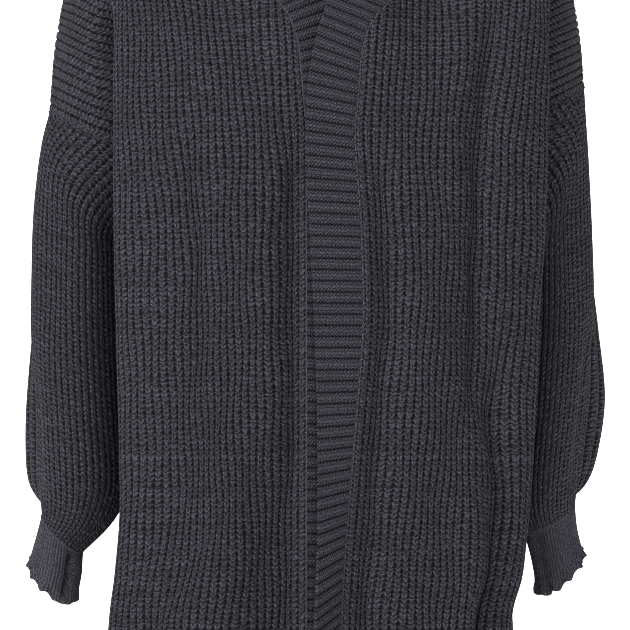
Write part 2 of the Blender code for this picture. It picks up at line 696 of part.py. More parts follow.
def build_band(grids, normals, material):
    """One strip with ribs across it, from hem to hem round the neck."""
    paths = {}
    for side in ("right", "left"):
        points, ribs = grids[f"front_{side}"]
        normal = normals[f"front_{side}"]
        neck = int(2 * FRONT_NECK_RIBS)
        place = np.concatenate([points[:-1, 0], points[-1, :neck + 1]])
        facing = np.concatenate([normal[:-1, 0], normal[-1, :neck + 1]])
        paths[side] = (place, facing)
    points, ribs = grids["back"]
    on_neck = np.abs(ribs) <= BACK_NECK_RIBS
    back_place = points[-1, on_neck]
    back_facing = normals["back"][-1, on_neck]
    place = np.concatenate([paths["right"][0], back_place, paths["left"][0][::-1]])
    facing = np.concatenate([paths["right"][1], back_facing, paths["left"][1][::-1]])
    way = np.concatenate([[0], np.cumsum(np.linalg.norm(np.diff(place, axis=0), axis=1))])
    ribs = int(round(way[-1] / BAND_RIB_PITCH))
    grooves = np.linspace(0, way[-1], ribs + 1)
    edge_points = len(PANEL_ROWS)
    corners = list(range(edge_points)) + [edge_points - 1 + 2 * FRONT_NECK_RIBS]
    shared = []
    for corner in corners + [len(way) - 1 - c for c in corners]:
        shared.append(int(np.abs(grooves - way[corner]).argmin()))
        grooves[shared[-1]] = way[corner]
    at = np.empty(2 * ribs + 1)
    at[::2] = grooves
    at[1::2] = (grooves[1:] + grooves[:-1]) / 2
    seam = np.stack([np.interp(at, way, place[:, k]) for k in range(3)], -1)
    out = unit(np.stack([np.interp(at, way, facing[:, k]) for k in range(3)], -1))
    middle = way[-1] / 2
    along = np.where(at < middle, at, way[-1] - at)
    free = np.empty_like(seam)
    for side, here in (("right", at < middle), ("left", at >= middle)):
        table = BAND_EDGE[side]
        sign = -1 if side == "right" else 1
        centre = np.array((middle, 0.0, BAND_BACK_EDGE[2] + 0.022,
                           BAND_BACK_EDGE[1] - 0.105))
        table = np.vstack([table, centre])
        edge = through(table[:, 0], table[:, 1:], along[here])
        free[here, 0] = sign * edge[:, 0]
        free[here, 1] = seam[here, 1] + edge[:, 2]
        free[here, 2] = seam[here, 2] + edge[:, 1]
    across = unit(free - seam)
    corner = way[edge_points - 1 + 2 * FRONT_NECK_RIBS]
    near_corner = np.exp(-((along - corner) / BAND_CORNER_REACH) ** 2)[:, None]
    seam = seam + across * (BAND_SEAM_GAP + BAND_CORNER_GAP * near_corner)
    own = unit(np.cross(np.gradient(seam, axis=0), across))
    own *= np.sign((own * out).sum(1, keepdims=True))
    crest = rib_relief(np.arange(2 * ribs + 1) / 2, BAND_RIB_HEIGHT)[:, None]
    inside = np.stack([seam, free])
    outside = np.stack([seam + out * (WALL + crest * 0.6), free + own * (WALL + crest)])
    fine = [g for g in range(ribs + 1) if along[2 * g] > BAND_NECK or g % 4 == 0]
    solid("band", inside, outside, [2 * g for g in sorted(set(fine + shared))], material)


def ring(sizes, angle, bulge, drop):
    """Oval ring through its outer and inner points: across, y and height."""
    outer_x, outer_z, inner_x, inner_z, y, half_depth = sizes[:6]
    turn = np.cos(angle)
    across = (outer_x + inner_x) / 2 + (outer_x - inner_x) / 2 * turn
    height = (outer_z + inner_z) / 2 + (outer_z - inner_z) / 2 * turn
    height = height - drop * np.sin(angle)
    back = np.exp(-((np.degrees(angle) - 316) / 20) ** 2)
    return np.stack([across + bulge * back, y - half_depth * np.sin(angle) + 0.6 * bulge * back,
                     height], -1)


def build_sleeve(side, loop, material):
    """Balloon sleeve from the armhole seam to the cuff seam."""
    ribs = np.arange(2 * SLEEVE_RIBS) / 2
    angle = ribs / SLEEVE_RIBS * 2 * np.pi
    seam_angle, place, _, outward = loop
    first = np.stack([np.interp(angle, seam_angle, place[:, k]) for k in range(3)], -1)
    facing = np.stack([np.interp(angle, seam_angle, outward[:, k]) for k in range(3)], -1)
    rings = [mirror(ring(row, angle, row[6], row[7]), side) for row in SLEEVE_RINGS[side]]
    points = np.stack([first] + rings)
    points[1:] = folded(points[1:], ribs, f"sleeve_{side}", SLEEVE_RIBS)
    normal = surface_normals(points, closed=True)
    normal *= np.sign((normal[2:6] * (points[2:6] - points[2:6].mean(1, keepdims=True))).sum())
    normal[0] = unit(facing)
    normal[-1], stretch = mitred(normal[-1], cuff_normals(side, angle)[0])
    thick = WALL + rib_relief(ribs, RIB_HEIGHT) * crowding(points, closed=True)
    thick[-1] *= stretch
    outside = points + normal * thick[..., None]
    solid(f"sleeve_{side}", points, outside, list(range(0, 2 * SLEEVE_RIBS, 4)), material,
          closed=True)
    seam_normal = [np.interp(np.arange(2 * CUFF_RIBS) / CUFF_RIBS * np.pi, angle, normal[-1][:, k],
                             period=2 * np.pi) for k in range(3)]
    seam_stretch = np.interp(np.arange(2 * CUFF_RIBS) / CUFF_RIBS * np.pi, angle, stretch,
                             period=2 * np.pi)
    return np.stack(seam_normal, -1), seam_stretch


def mitred(first, second):
    """Shared outward direction of two walls at their seam, and its lengthening."""
    shared = unit(first + second)
    return shared, np.minimum(1 / np.maximum((shared * first).sum(-1), 0.1), 1.6)


def cuff_points(side, angle):
    """Rings of a cuff, seam first, and the way it points."""
    last = SLEEVE_RINGS[side][-1]
    seam = mirror(ring(last, angle, last[6], last[7]), side)
    rings = [mirror(ring(row, angle, 0.0, row[6]), side) for row in CUFF_RINGS[side]]
    down = unit(rings[-1].mean(0) - seam.mean(0))
    return np.stack([seam + down * SEAM_GAP] + rings), down


def cuff_normals(side, angle):
    """Outward directions of a cuff, before its edge is fluted."""
    points, _ = cuff_points(side, angle)
    normal = surface_normals(points, closed=True)
    return normal * np.sign((normal * (points - points.mean(1, keepdims=True))).sum())


def build_cuff(side, seam_normal, seam_stretch, material):
    """Short fine-ribbed cuff with a fluted edge."""
    ribs = np.arange(2 * CUFF_RIBS) / 2
    angle = ribs / CUFF_RIBS * 2 * np.pi
    points, down = cuff_points(side, angle)
    normal = cuff_normals(side, angle)
    normal[0] = unit(seam_normal)
    wave = np.sin(FRILL_WAVES * angle)[:, None]
    points[-1] += normal[-1] * wave * 0.0022 + down * np.cos(FRILL_WAVES * angle)[:, None] * 0.0022
    points[-2] += normal[-2] * wave * 0.0006
    thick = CUFF_WALL + rib_relief(ribs, CUFF_RIB_HEIGHT) * np.ones((len(points), 1))
    thick[0] *= seam_stretch
    outside = points + normal * thick[..., None]
    solid(f"cuff_{side}", points, outside, list(range(0, 2 * CUFF_RIBS, 2)), material,
          closed=True)


def main():
    """Clear the scene, then make each piece."""
    for thing in list(bpy.data.objects):
        bpy.data.objects.remove(thing, do_unlink=True)
    body = knit("body knit", CHARCOAL)
    grids, normals, loops = build_panels(body)
    build_band(grids, normals, knit("band knit", CHARCOAL_BAND))
    cuff = knit("cuff knit", CHARCOAL_CUFF)
    for side in ("right", "left"):
        seam_normal, seam_stretch = build_sleeve(side, loops[side], body)
        build_cuff(side, seam_normal, seam_stretch, cuff)


main()
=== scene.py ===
# Duster cardigan: the looks. Every piece of the garment is worked out here again
# from the same sizes as its solid, on a finer grid, with the ribs rounded, the
# stitches in the materials, and the sewing added. Metres, +Z up, the front
# faces -Y. "across" runs from the middle of the body towards one side.
import math

import bpy
import numpy as np
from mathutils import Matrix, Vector


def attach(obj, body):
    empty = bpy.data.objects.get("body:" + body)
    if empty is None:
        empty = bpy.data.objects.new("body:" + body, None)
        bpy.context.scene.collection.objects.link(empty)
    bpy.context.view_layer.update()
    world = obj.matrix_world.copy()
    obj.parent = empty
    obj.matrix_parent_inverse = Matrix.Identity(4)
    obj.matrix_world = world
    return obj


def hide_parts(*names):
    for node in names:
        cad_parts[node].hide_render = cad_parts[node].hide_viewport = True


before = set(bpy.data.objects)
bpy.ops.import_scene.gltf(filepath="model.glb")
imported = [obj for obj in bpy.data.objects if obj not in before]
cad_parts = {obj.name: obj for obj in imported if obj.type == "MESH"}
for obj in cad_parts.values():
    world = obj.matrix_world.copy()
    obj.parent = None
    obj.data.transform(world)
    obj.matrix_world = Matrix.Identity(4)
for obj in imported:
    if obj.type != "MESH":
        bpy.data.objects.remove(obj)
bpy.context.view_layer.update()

# Cut of the garment, the same as the solids
wall = 0.0026
cuffWall = 0.0022
seamGap = 0.0003
loosePitch = 0.0070          # ribs closer than this are flattened
sleeveRibs = 44
underarm = -0.33
underarmRow = 7              # its place among the control rows of a panel
sideSeamY = 0.010
squareness = 2.2             # power of the body's level section, where 2 is an ellipse
creaseWidth = 4.5            # ribs over which a panel turns on to the arm
creaseShare = 0.55           # how far the crease beside the arm shows half way up to it
shoulderSwell = ((0.36, 0.95), (0.70, 0.85))   # part of the way to the seam, share of rounding
armSwell = 0.25              # how much of that goes sideways
armDirection = (0.78, 0.0, -0.62)              # the way the sleeve leaves the armhole
underarmLift = 0.0098        # in the armpit the sleeve starts this far off the panel
armpitRibs = 5               # ribs over which a panel's wall turns to face the arm
seamRibs = 1.5               # and those over which it turns to face sideways at the side seam
shoulderRows = 4             # rows over which it turns to face up at the shoulder seam
overlapStep = 0.0072         # the left front lies this far before the right one
overlapRibs = 11
longestMitre = 1.6           # how much longer a wall may get where two of them meet
calmTurns = 30
leastStep = 0.3              # an outer step is at least this share of the inner one

# Each front, and each half of the back, with its columns in the tables below
panelCut = {
    "front": {
        "sign": -1,              # the way it faces along Y
        "ribs": 44,              # from the centre edge to the side seam
        "neckRibs": 11,          # ribs that end on the neck seam
        "foldRib": 28,           # the rib on the chest's edge, in front of the arm
        "turnIn": 0.20,          # share of the side's ribs that turn in behind that edge
        "creaseY": 0.052,        # crease beside the arm, from the side seam
        "creaseOut": 0.012,
        "foldColumn": 2, "depthColumn": 1, "edgeColumn": 3, "turnColumn": 1,
    },
    "back": {
        "sign": 1, "ribs": 42, "neckRibs": 13, "foldRib": 28,
        "turnIn": 0.45, "creaseY": 0.058, "creaseOut": 0.026,
        "foldColumn": 4, "depthColumn": 2, "edgeColumn": 4, "turnColumn": 2,
    },
}

# Depth of the body by height, the same on both sides
depthTable = np.array([
    # height, front, back, front edge y, back edge y
    (-1.05, 0.137, 0.142, 0.070, 0.080),
    (-0.88, 0.134, 0.137, 0.071, 0.080),
    (-0.73, 0.130, 0.131, 0.072, 0.080),
    (-0.56, 0.127, 0.126, 0.076, 0.082),
    (-0.42, 0.129, 0.130, 0.078, 0.084),
    (-0.33, 0.130, 0.139, 0.077, 0.086),
    (-0.20, 0.118, 0.142, 0.077, 0.086),
    (-0.15, 0.106, 0.138, 0.073, 0.083),
    (-0.10, 0.088, 0.130, 0.066, 0.077),
])

# Width of the body by height, each side by itself
widthTable = {
    "right": np.array([
        # height, centre front edge, front fold, side, back fold
        (-1.05, 0.012, 0.219, 0.222, 0.221),
        (-0.88, 0.012, 0.214, 0.216, 0.216),
        (-0.73, 0.012, 0.207, 0.205, 0.208),
        (-0.67, 0.012, 0.200, 0.193, 0.203),
        (-0.60, 0.012, 0.195, 0.181, 0.199),
        (-0.50, 0.012, 0.197, 0.177, 0.201),
        (-0.42, 0.012, 0.199, 0.176, 0.203),
        (-0.33, 0.012, 0.201, 0.176, 0.203),
        (-0.20, 0.017, 0.202, 0.179, 0.202),
        (-0.10, 0.043, 0.203, 0.189, 0.200),
    ]),
    "left": np.array([
        (-1.05, 0.022, 0.205, 0.210, 0.208),
        (-0.88, 0.021, 0.192, 0.200, 0.200),
        (-0.73, 0.0205, 0.186, 0.190, 0.196),
        (-0.67, 0.0225, 0.198, 0.186, 0.198),
        (-0.60, 0.028, 0.205, 0.181, 0.202),
        (-0.50, 0.0365, 0.211, 0.179, 0.206),
        (-0.42, 0.042, 0.214, 0.179, 0.207),
        (-0.33, 0.040, 0.220, 0.180, 0.206),
        (-0.20, 0.0375, 0.224, 0.184, 0.203),
        (-0.10, 0.068, 0.226, 0.192, 0.200),
    ]),
}

# Front neck seam by rib
frontNeck = {
    "right": np.array([
        # rib, across, y, height
        (0, 0.0215, -0.1055, -0.150),
        (1, 0.0290, -0.0970, -0.125),
        (3, 0.0430, -0.0840, -0.103),
        (7, 0.0830, -0.0330, -0.045),
        (11, 0.1200, 0.0300, 0.000),
    ]),
    "left": np.array([
        (0, 0.0430, -0.1060, -0.155),
        (1, 0.0500, -0.0995, -0.131),
        (3, 0.0660, -0.0870, -0.108),
        (7, 0.0930, -0.0330, -0.047),
        (11, 0.1200, 0.0300, 0.000),
    ]),
}

# Back neck seam by rib
backNeck = np.array([
    # rib, across, y, height
    (0, 0.000, 0.105, -0.022),
    (5, 0.047, 0.099, -0.020),
    (9, 0.084, 0.081, -0.013),
    (13, 0.120, 0.030, 0.000),
])

# Shoulder seam, from the neck to the top of the armhole
shoulderTable = {
    "right": np.array([
        # part of the seam, across, y, height
        (0.00, 0.120, 0.030, 0.000),
        (0.25, 0.188, 0.031, -0.021),
        (0.50, 0.249, 0.026, -0.071),
        (0.72, 0.264, 0.019, -0.124),
        (1.00, 0.272, 0.012, -0.209),
    ]),
    "left": np.array([
        (0.00, 0.120, 0.030, 0.000),
        (0.25, 0.188, 0.031, -0.021),
        (0.50, 0.245, 0.026, -0.066),
        (0.72, 0.259, 0.019, -0.113),
        (1.00, 0.2655, 0.012, -0.184),
    ]),
}

# Where the ribs turn from the chest or the back over the arm: front, then back
turnHeight = {
    "right": np.array([
        # part of the piece's ribs, front height, back height
        (0.00, -0.235, -0.160),
        (0.27, -0.170, -0.140),
        (0.46, -0.122, -0.122),
        (0.62, -0.108, -0.108),
        (0.78, -0.160, -0.160),
        (1.00, -0.252, -0.252),
    ]),
    "left": np.array([
        (0.00, -0.235, -0.160),
        (0.27, -0.170, -0.140),
        (0.46, -0.118, -0.118),
        (0.62, -0.102, -0.102),
        (0.78, -0.143, -0.143),
        (1.00, -0.222, -0.230),
    ]),
}

# How far the cloth rounds out between that turn and the shoulder seam
roundingTable = np.array([
    # part of the piece's ribs, rounding, share of it that is upward
    (0.00, 0.003, 0.10),
    (0.27, 0.014, 0.45),
    (0.46, 0.024, 0.60),
    (0.64, 0.022, 0.40),
    (0.75, 0.024, 0.15),
    (1.00, 0.024, 0.05),
])

# Soft folds: troughs are negative
foldTable = {
    "front_right": [
        # rib, half width in ribs, depth, top, bottom
        (15.5, 2.0, -0.0060, -0.20, -0.50),
        (2.2, 2.2, -0.0150, -0.20, -0.90),
        (5.6, 3.2, -0.0150, -0.52, -1.12),
        (13.0, 3.4, 0.0070, -0.58, -1.12),
        (21.0, 2.8, -0.0055, -0.66, -1.12),
    ],
    "front_left": [
        (3.0, 2.2, -0.0105, -0.24, -1.00),
        (9.0, 3.2, 0.0045, -0.30, -0.78),
        (17.0, 2.4, -0.0135, -0.04, -0.54),
        (17.2, 2.6, 0.0070, -0.56, -1.12),
        (21.2, 2.3, -0.0175, -0.42, -0.90),
        (10.5, 3.2, -0.0050, -0.76, -1.12),
    ],
    "back": [
        (-19.0, 3.4, -0.0055, -0.26, -0.70),
        (-7.0, 3.6, 0.0055, -0.52, -1.12),
        (3.0, 3.2, -0.0060, -0.48, -1.12),
        (13.5, 3.8, 0.0055, -0.60, -1.12),
        (21.0, 3.0, -0.0060, -0.22, -0.62),
        (-15.0, 3.2, -0.0060, -0.70, -1.12),
    ],
    "sleeve_right": [
        (2.2, 2.2, -0.0050, -0.42, -0.64),
        (8.0, 3.0, -0.0040, -0.26, -0.46),
        (33.0, 3.4, -0.0050, -0.40, -0.62),
        (42.6, 1.6, -0.0050, -0.34, -0.61),
        (0.7, 1.2, 0.0020, -0.36, -0.60),
    ],
    "sleeve_left": [
        (3.4, 2.4, -0.0060, -0.38, -0.62),
        (9.0, 3.0, -0.0035, -0.24, -0.44),
        (33.0, 3.4, -0.0050, -0.38, -0.60),
        (42.6, 1.6, -0.0050, -0.32, -0.60),
        (0.7, 1.2, 0.0020, -0.34, -0.59),
    ],
}

# Where the ribs lean aside along the cloth, towards the centre front
swayTable = {
    "front_right": [
        # rib, half width in ribs, shift, top, bottom
        (19.0, 6.0, -0.010, -0.20, -0.74),
        (23.0, 5.0, -0.012, -0.66, -1.02),
    ],
    "front_left": [
        (21.0, 6.0, -0.012, -0.10, -0.60),
        (14.0, 6.0, 0.008, -0.58, -1.02),
    ],
}

# Rings of a sleeve, from just below the armhole to the cuff seam
sleeveRings = {
    "right": np.array([
        # outer across, outer height, inner across, inner height, y, half depth, back bulge,
        # front drop
        (0.2795, -0.242, 0.2060, -0.340, 0.012, 0.056, 0.000, 0.000),
        (0.2875, -0.305, 0.2070, -0.375, 0.015, 0.058, 0.002, 0.000),
        (0.2905, -0.380, 0.2060, -0.425, 0.018, 0.059, 0.006, 0.000),
        (0.2900, -0.450, 0.2040, -0.478, 0.021, 0.061, 0.016, 0.000),
        (0.2870, -0.520, 0.2010, -0.530, 0.024, 0.063, 0.026, 0.000),
        (0.2850, -0.578, 0.1975, -0.576, 0.024, 0.061, 0.027, 0.000),
        (0.2828, -0.601, 0.2030, -0.602, 0.022, 0.052, 0.018, 0.002),
        (0.2818, -0.613, 0.2180, -0.628, 0.019, 0.038, 0.004, 0.004),
        (0.2812, -0.620, 0.2450, -0.655, 0.017, 0.026, 0.000, 0.006),
    ]),
    "left": np.array([
        (0.2670, -0.218, 0.2080, -0.341, 0.012, 0.055, 0.000, 0.000),
        (0.2718, -0.290, 0.2080, -0.378, 0.018, 0.054, 0.003, 0.000),
        (0.2752, -0.370, 0.2070, -0.425, 0.021, 0.057, 0.010, 0.000),
        (0.2745, -0.430, 0.2050, -0.468, 0.024, 0.059, 0.020, 0.000),
        (0.2690, -0.500, 0.2020, -0.522, 0.026, 0.062, 0.034, 0.000),
        (0.2622, -0.562, 0.1985, -0.573, 0.026, 0.060, 0.031, 0.000),
        (0.2590, -0.590, 0.1990, -0.602, 0.024, 0.051, 0.020, 0.002),
        (0.2580, -0.602, 0.2030, -0.622, 0.021, 0.038, 0.005, 0.004),
        (0.2575, -0.609, 0.2105, -0.633, 0.019, 0.027, 0.000, 0.006),
    ]),
}

# Rings of a cuff below its seam
cuffRings = {
    "right": np.array([
        # outer across, outer height, inner across, inner height, y, half depth, front drop
        (0.2880, -0.646, 0.2455, -0.676, 0.016, 0.0265, 0.009),
        (0.2930, -0.663, 0.2485, -0.693, 0.015, 0.0280, 0.012),
        (0.2965, -0.671, 0.2500, -0.702, 0.015, 0.0300, 0.014),
    ]),
    "left": np.array([
        (0.2600, -0.633, 0.2180, -0.659, 0.018, 0.0265, 0.008),
        (0.2645, -0.652, 0.2225, -0.683, 0.017, 0.0280, 0.010),
        (0.2690, -0.661, 0.2225, -0.696, 0.017, 0.0300, 0.012),
    ]),
}

# Free edge of the band, by the length along its seam from the hem
bandEdge = {
    "right": np.array([
        # along, across (towards this side), rise, set back
        (0.000, -0.034, 0.000, 0.006),
        (0.320, -0.034, 0.000, 0.006),
        (0.720, -0.036, 0.000, 0.005),
        (0.800, -0.036, 0.002, 0.004),
        (0.850, -0.034, 0.005, 0.008),
        (0.900, -0.026, 0.012, 0.014),
        (0.935, -0.012, 0.017, 0.019),
        (0.985, 0.008, 0.021, 0.017),
        (1.050, 0.044, 0.020, 0.006),
        (1.125, 0.080, 0.024, 0.000),
        (1.185, 0.069, 0.032, -0.022),
    ]),
    "left": np.array([
        (0.000, -0.006, 0.000, -0.016),
        (0.320, -0.008, -0.020, -0.022),
        (0.380, -0.005, -0.016, -0.017),
        (0.450, -0.003, -0.009, -0.009),
        (0.550, -0.0035, -0.002, -0.002),
        (0.720, -0.0105, 0.002, 0.000),
        (0.800, -0.0150, 0.006, 0.000),
        (0.850, -0.0125, 0.011, 0.000),
        (0.900, -0.0030, 0.018, 0.001),
        (0.935, 0.0080, 0.018, 0.005),
        (0.985, 0.0220, 0.021, 0.008),
        (1.050, 0.0520, 0.020, 0.005),
        (1.125, 0.0800, 0.024, 0.000),
        (1.185, 0.0690, 0.032, -0.022),
    ]),
}
bandBackEdge = (0.0, 0.072, 0.016)     # free edge at the centre back


# Smooth curve through values at knots: cubic pieces with averaged slopes.
def through(knots, values, at):
    knots = np.asarray(knots, float)
    values = np.asarray(values, float)
    at = np.clip(np.asarray(at, float), knots[0], knots[-1])
    step = np.diff(knots)
    shape = (-1,) + (1,) * (values.ndim - 1)
    chord = np.diff(values, axis=0) / step.reshape(shape)
    slope = np.empty_like(values)
    slope[0] = chord[0]
    slope[-1] = chord[-1]
    before = step[:-1].reshape(shape)
    after = step[1:].reshape(shape)
    slope[1:-1] = (chord[:-1] * after + chord[1:] * before) / (before + after)
    k = np.clip(np.searchsorted(knots, at, side="right") - 1, 0, len(step) - 1)
    more = (1,) * (values.ndim - 1)
    t = ((at - knots[k]) / step[k]).reshape(at.shape + more)
    h = step[k].reshape(at.shape + more)
    a = values[k]
    b = values[k + 1]
    return (a * (1 + 2 * t) * (1 - t) ** 2 + b * t * t * (3 - 2 * t)
            + h * (slope[k] * t * (1 - t) ** 2 - slope[k + 1] * t * t * (1 - t)))


# Soft step from 0 to 1.
def ease(t):
    t = np.clip(t, 0, 1)
    return t * t * (3 - 2 * t)


# Vectors scaled to length 1.
def unit(vectors):
    return vectors / np.maximum(np.linalg.norm(vectors, axis=-1, keepdims=True), 1e-12)


# One column of a table, whose first column holds the knots.
def column(table, which, at):
    return through(table[:, 0], table[:, which], at)


# Body's level section at a rib: a squarish ellipse from the centre to the fold edge,
# then in behind that edge to the side seam. Returns across and y.
def section(side, rib, height, face):
    rib, height = np.broadcast_arrays(np.asarray(rib, float), np.asarray(height, float))
    cut = panelCut[face]
    sizes = widthTable[side]
    centre = column(sizes, 1, height) if face == "front" else np.zeros_like(height)
    fold = column(sizes, cut["foldColumn"], height)
    seam = column(sizes, 3, height)
    depth = column(depthTable, cut["depthColumn"], height)
    edgeDepth = column(depthTable, cut["edgeColumn"], height)
    part = np.clip(rib / cut["foldRib"], 0, 1)
    # even spacing, but closer at the fold edge, where the cloth turns
    across = centre + (fold - centre) * (1.1 * part - 0.1 * part ** 11)
    reach = np.clip(across / fold, 0, 1)
    y = edgeDepth + (depth - edgeDepth) * (1 - reach ** squareness) ** (1 / squareness)
    if face == "front" and side == "left":
        y = y + overlapStep * (1 - ease(rib / overlapRibs))
    way = np.clip((rib - cut["foldRib"]) / (cut["ribs"] - cut["foldRib"]), 0, 1)
    turnedIn = seam + (fold - seam) * np.exp(-(way / cut["turnIn"]) ** 2)
    across = np.where(way > 0, turnedIn, across)
    backWay = way ** 1.5
    y = np.where(way > 0, edgeDepth * (1 - backWay) + cut["sign"] * sideSeamY * backWay, y)
    return across, cut["sign"] * (y + seamGap / 2 * way)


# Where a rib ends: on the neck seam, or on the shoulder seam.
def topEdge(side, rib, face):
    cut = panelCut[face]
    neckRibs = cut["neckRibs"]
    neck = frontNeck[side] if face == "front" else backNeck
    onNeck = through(neck[:, 0], neck[:, 1:], rib)
    if face == "front" and side == "left":
        onNeck[..., 1] -= overlapStep * (1 - ease(np.asarray(rib) / neckRibs))
    seam = shoulderTable[side]
    onShoulder = through(seam[:, 0], seam[:, 1:], (rib - neckRibs) / (cut["ribs"] - neckRibs))
    onShoulder = onShoulder + np.array((0, cut["sign"] * seamGap / 2, 0))
    return np.where((rib < neckRibs)[..., None], onNeck, onShoulder)


# Control rows of a front or of half the back, hem first: across, y, height. Level
# sections to the underarm, the crease beside the arm, then rounded up to the seam.
def panelRows(side, rib, face):
    cut = panelCut[face]
    sign = cut["sign"]
    rib = np.asarray(rib, float)
    rows = []
    for height in widthTable[side][:underarmRow + 1, 0]:
        across, y = section(side, rib, height, face)
        rows.append(np.stack([across, y, np.full_like(rib, height)], -1))
    turn = column(turnHeight[side], cut["turnColumn"], rib / cut["ribs"])
    arm = ease((rib - cut["foldRib"] + 1) / creaseWidth)
    way = np.clip((rib - cut["foldRib"]) / (cut["ribs"] - cut["foldRib"]), 0, 1)
    halfHeight = (turn + underarm) / 2
    across, y = section(side, rib, halfHeight, face)
    y = y + sign * creaseShare * cut["creaseY"] * way ** 2
    rows.append(np.stack([across, y, halfHeight], -1))
    across, y = section(side, rib, turn, face)
    creaseAcross = column(widthTable[side], 3, turn) + cut["creaseOut"]
    across = across * (1 - arm) + creaseAcross * arm
    y = y * (1 - arm) + (sideSeamY + sign * cut["creaseY"]) * arm
    atTurn = np.stack([across, y, turn], -1)
    rows.append(atTurn)
    end = topEdge(side, rib, face)
    rounding = column(roundingTable, 1, rib / cut["ribs"])
    upward = column(roundingTable, 2, rib / cut["ribs"])
    out = np.stack([armSwell * arm, sign * np.sqrt(1 - upward ** 2), upward], -1)
    for share, swell in shoulderSwell:
        rows.append(atTurn + (end - atTurn) * share + out * (rounding * swell)[..., None])
    rows.append(end)
    return np.stack(rows)


# Across the wearer becomes X: minus on the right, plus on the left.
def mirror(points, side):
    points = points.copy()
    points[..., 0] *= -1 if side == "right" else 1
    return points


# Steps along an axis, each from half way before to half way after a point.
def stepsAlong(points, axis, closed=False):
    if closed:
        return (np.roll(points, -1, axis=axis) - np.roll(points, 1, axis=axis)) / 2
    return np.gradient(points, axis=axis)


# Unit normals of a grid of points: the step along a row crossed with that down.
def surfaceNormals(points, closed=False):
    return unit(np.cross(stepsAlong(points, 1, closed), stepsAlong(points, 0)))


# Normals of a closed tube, turned to point away from its middle.
def tubeNormals(points, firstRow=0):
    normal = surfaceNormals(points, closed=True)
    away = points[firstRow:] - points[firstRow:].mean(1, keepdims=True)
    return normal * np.sign((normal[firstRow:] * away).sum())


foldLook = {
    "fade": (0.10, 0.07),       # metres over which a fold comes in at its top and bottom
    "swayFade": (0.16, 0.10),
    "waver": 0.0009,            # metres that the ribs waver aside
    "waverWaves": ((0.9, 63, 0), (0.31, -29, 1.3)),   # turns by rib and by height, start
    "stillRibs": 4,             # nothing moves aside at a panel's edges
}


# Share of a fold at each height: none beyond its two ends.
def endFade(height, top, bottom, fades):
    return ease((top - height) / fades[0]) * ease((height - bottom) / fades[1])


# Points moved by the soft folds of one piece: each fold is a bell across the ribs, along
# the normal, and each sway a wider one sideways.
def folded(points, ribs, name, closed=0):
    normal = surfaceNormals(points, bool(closed))
    normal = normal * outwardSign(points, normal)
    height = points[..., 2]
    moved = points.copy()
    for at, half, depth, top, bottom in foldTable.get(name, ()):
        far = np.abs(ribs - at)
        if closed:
            far = np.minimum(far, closed - far)
        across = np.exp(-(far / half) ** 2)
        ends = endFade(height, top, bottom, foldLook["fade"])
        moved += normal * (depth * across * ends)[..., None]
    if closed:
        return moved
    sideways = unit(np.gradient(points, axis=1))
    still = foldLook["stillRibs"]
    # the ribs never hang quite straight: two slow waves
    wave = sum(np.sin(ribs * byRib + height * byHeight + start)
               for byRib, byHeight, start in foldLook["waverWaves"])
    fromEdge = ease(np.minimum(ribs - ribs[0], ribs[-1] - ribs) / still)
    moved += sideways * (foldLook["waver"] * wave * fromEdge)[..., None]
    for at, half, shift, top, bottom in swayTable.get(name, ()):
        across = np.exp(-((ribs - at) / half) ** 2) * ease(ribs / still)
        ends = endFade(height, top, bottom, foldLook["swayFade"])
        moved += sideways * (shift * across * ends)[..., None]
    return moved


# +1 where the normals of a piece point away from its middle, taken as a whole.
def outwardSign(points, normal):
    middle = points.reshape(-1, 3).mean(0) * np.array((1, 1, 0)) + np.array((0, 0.01, 0))
    away = points - middle
    away[..., 2] = 0
    return np.sign((unit(away) * normal).sum())


# Share of its height that a rib keeps: all of it where the ribs lie loose, and down to
# a tenth where they are gathered close.
def crowding(points, perRib, closed=False):
    down = unit(np.gradient(points, axis=0))
    pitch = np.linalg.norm(np.cross(stepsAlong(points, 1, closed), down), axis=2) * perRib
    return np.clip(pitch / loosePitch * 1.25 - 0.25, 0.1, 1)


# Outward directions turned towards their neighbours' wherever the wall would
# cross itself in a tight crease. The two end columns keep theirs.
def calmed(points, normal, thick):
    normal = normal.copy()
    for turn in range(calmTurns):
        outside = points + normal * thick[..., None]
        step = np.diff(points, axis=1)
        turned = (np.diff(outside, axis=1) * step).sum(-1) < leastStep * (step ** 2).sum(-1)
        tight = turned[:, 1:] | turned[:, :-1]
        mean = unit(normal[:, 2:] + normal[:, 1:-1] + normal[:, :-2])
        normal[:, 1:-1] = np.where(tight[..., None], mean, normal[:, 1:-1])
    return normal


# Length from the first point of a line to each of its points.
def wayAlong(points):
    return np.concatenate([[0], np.cumsum(np.linalg.norm(np.diff(points, axis=0), axis=1))])


# Values at knots, read off straight between them for each of three coordinates.
def readOff(at, knots, values, period=None):
    return np.stack([np.interp(at, knots, values[:, k], period=period) for k in range(3)], -1)


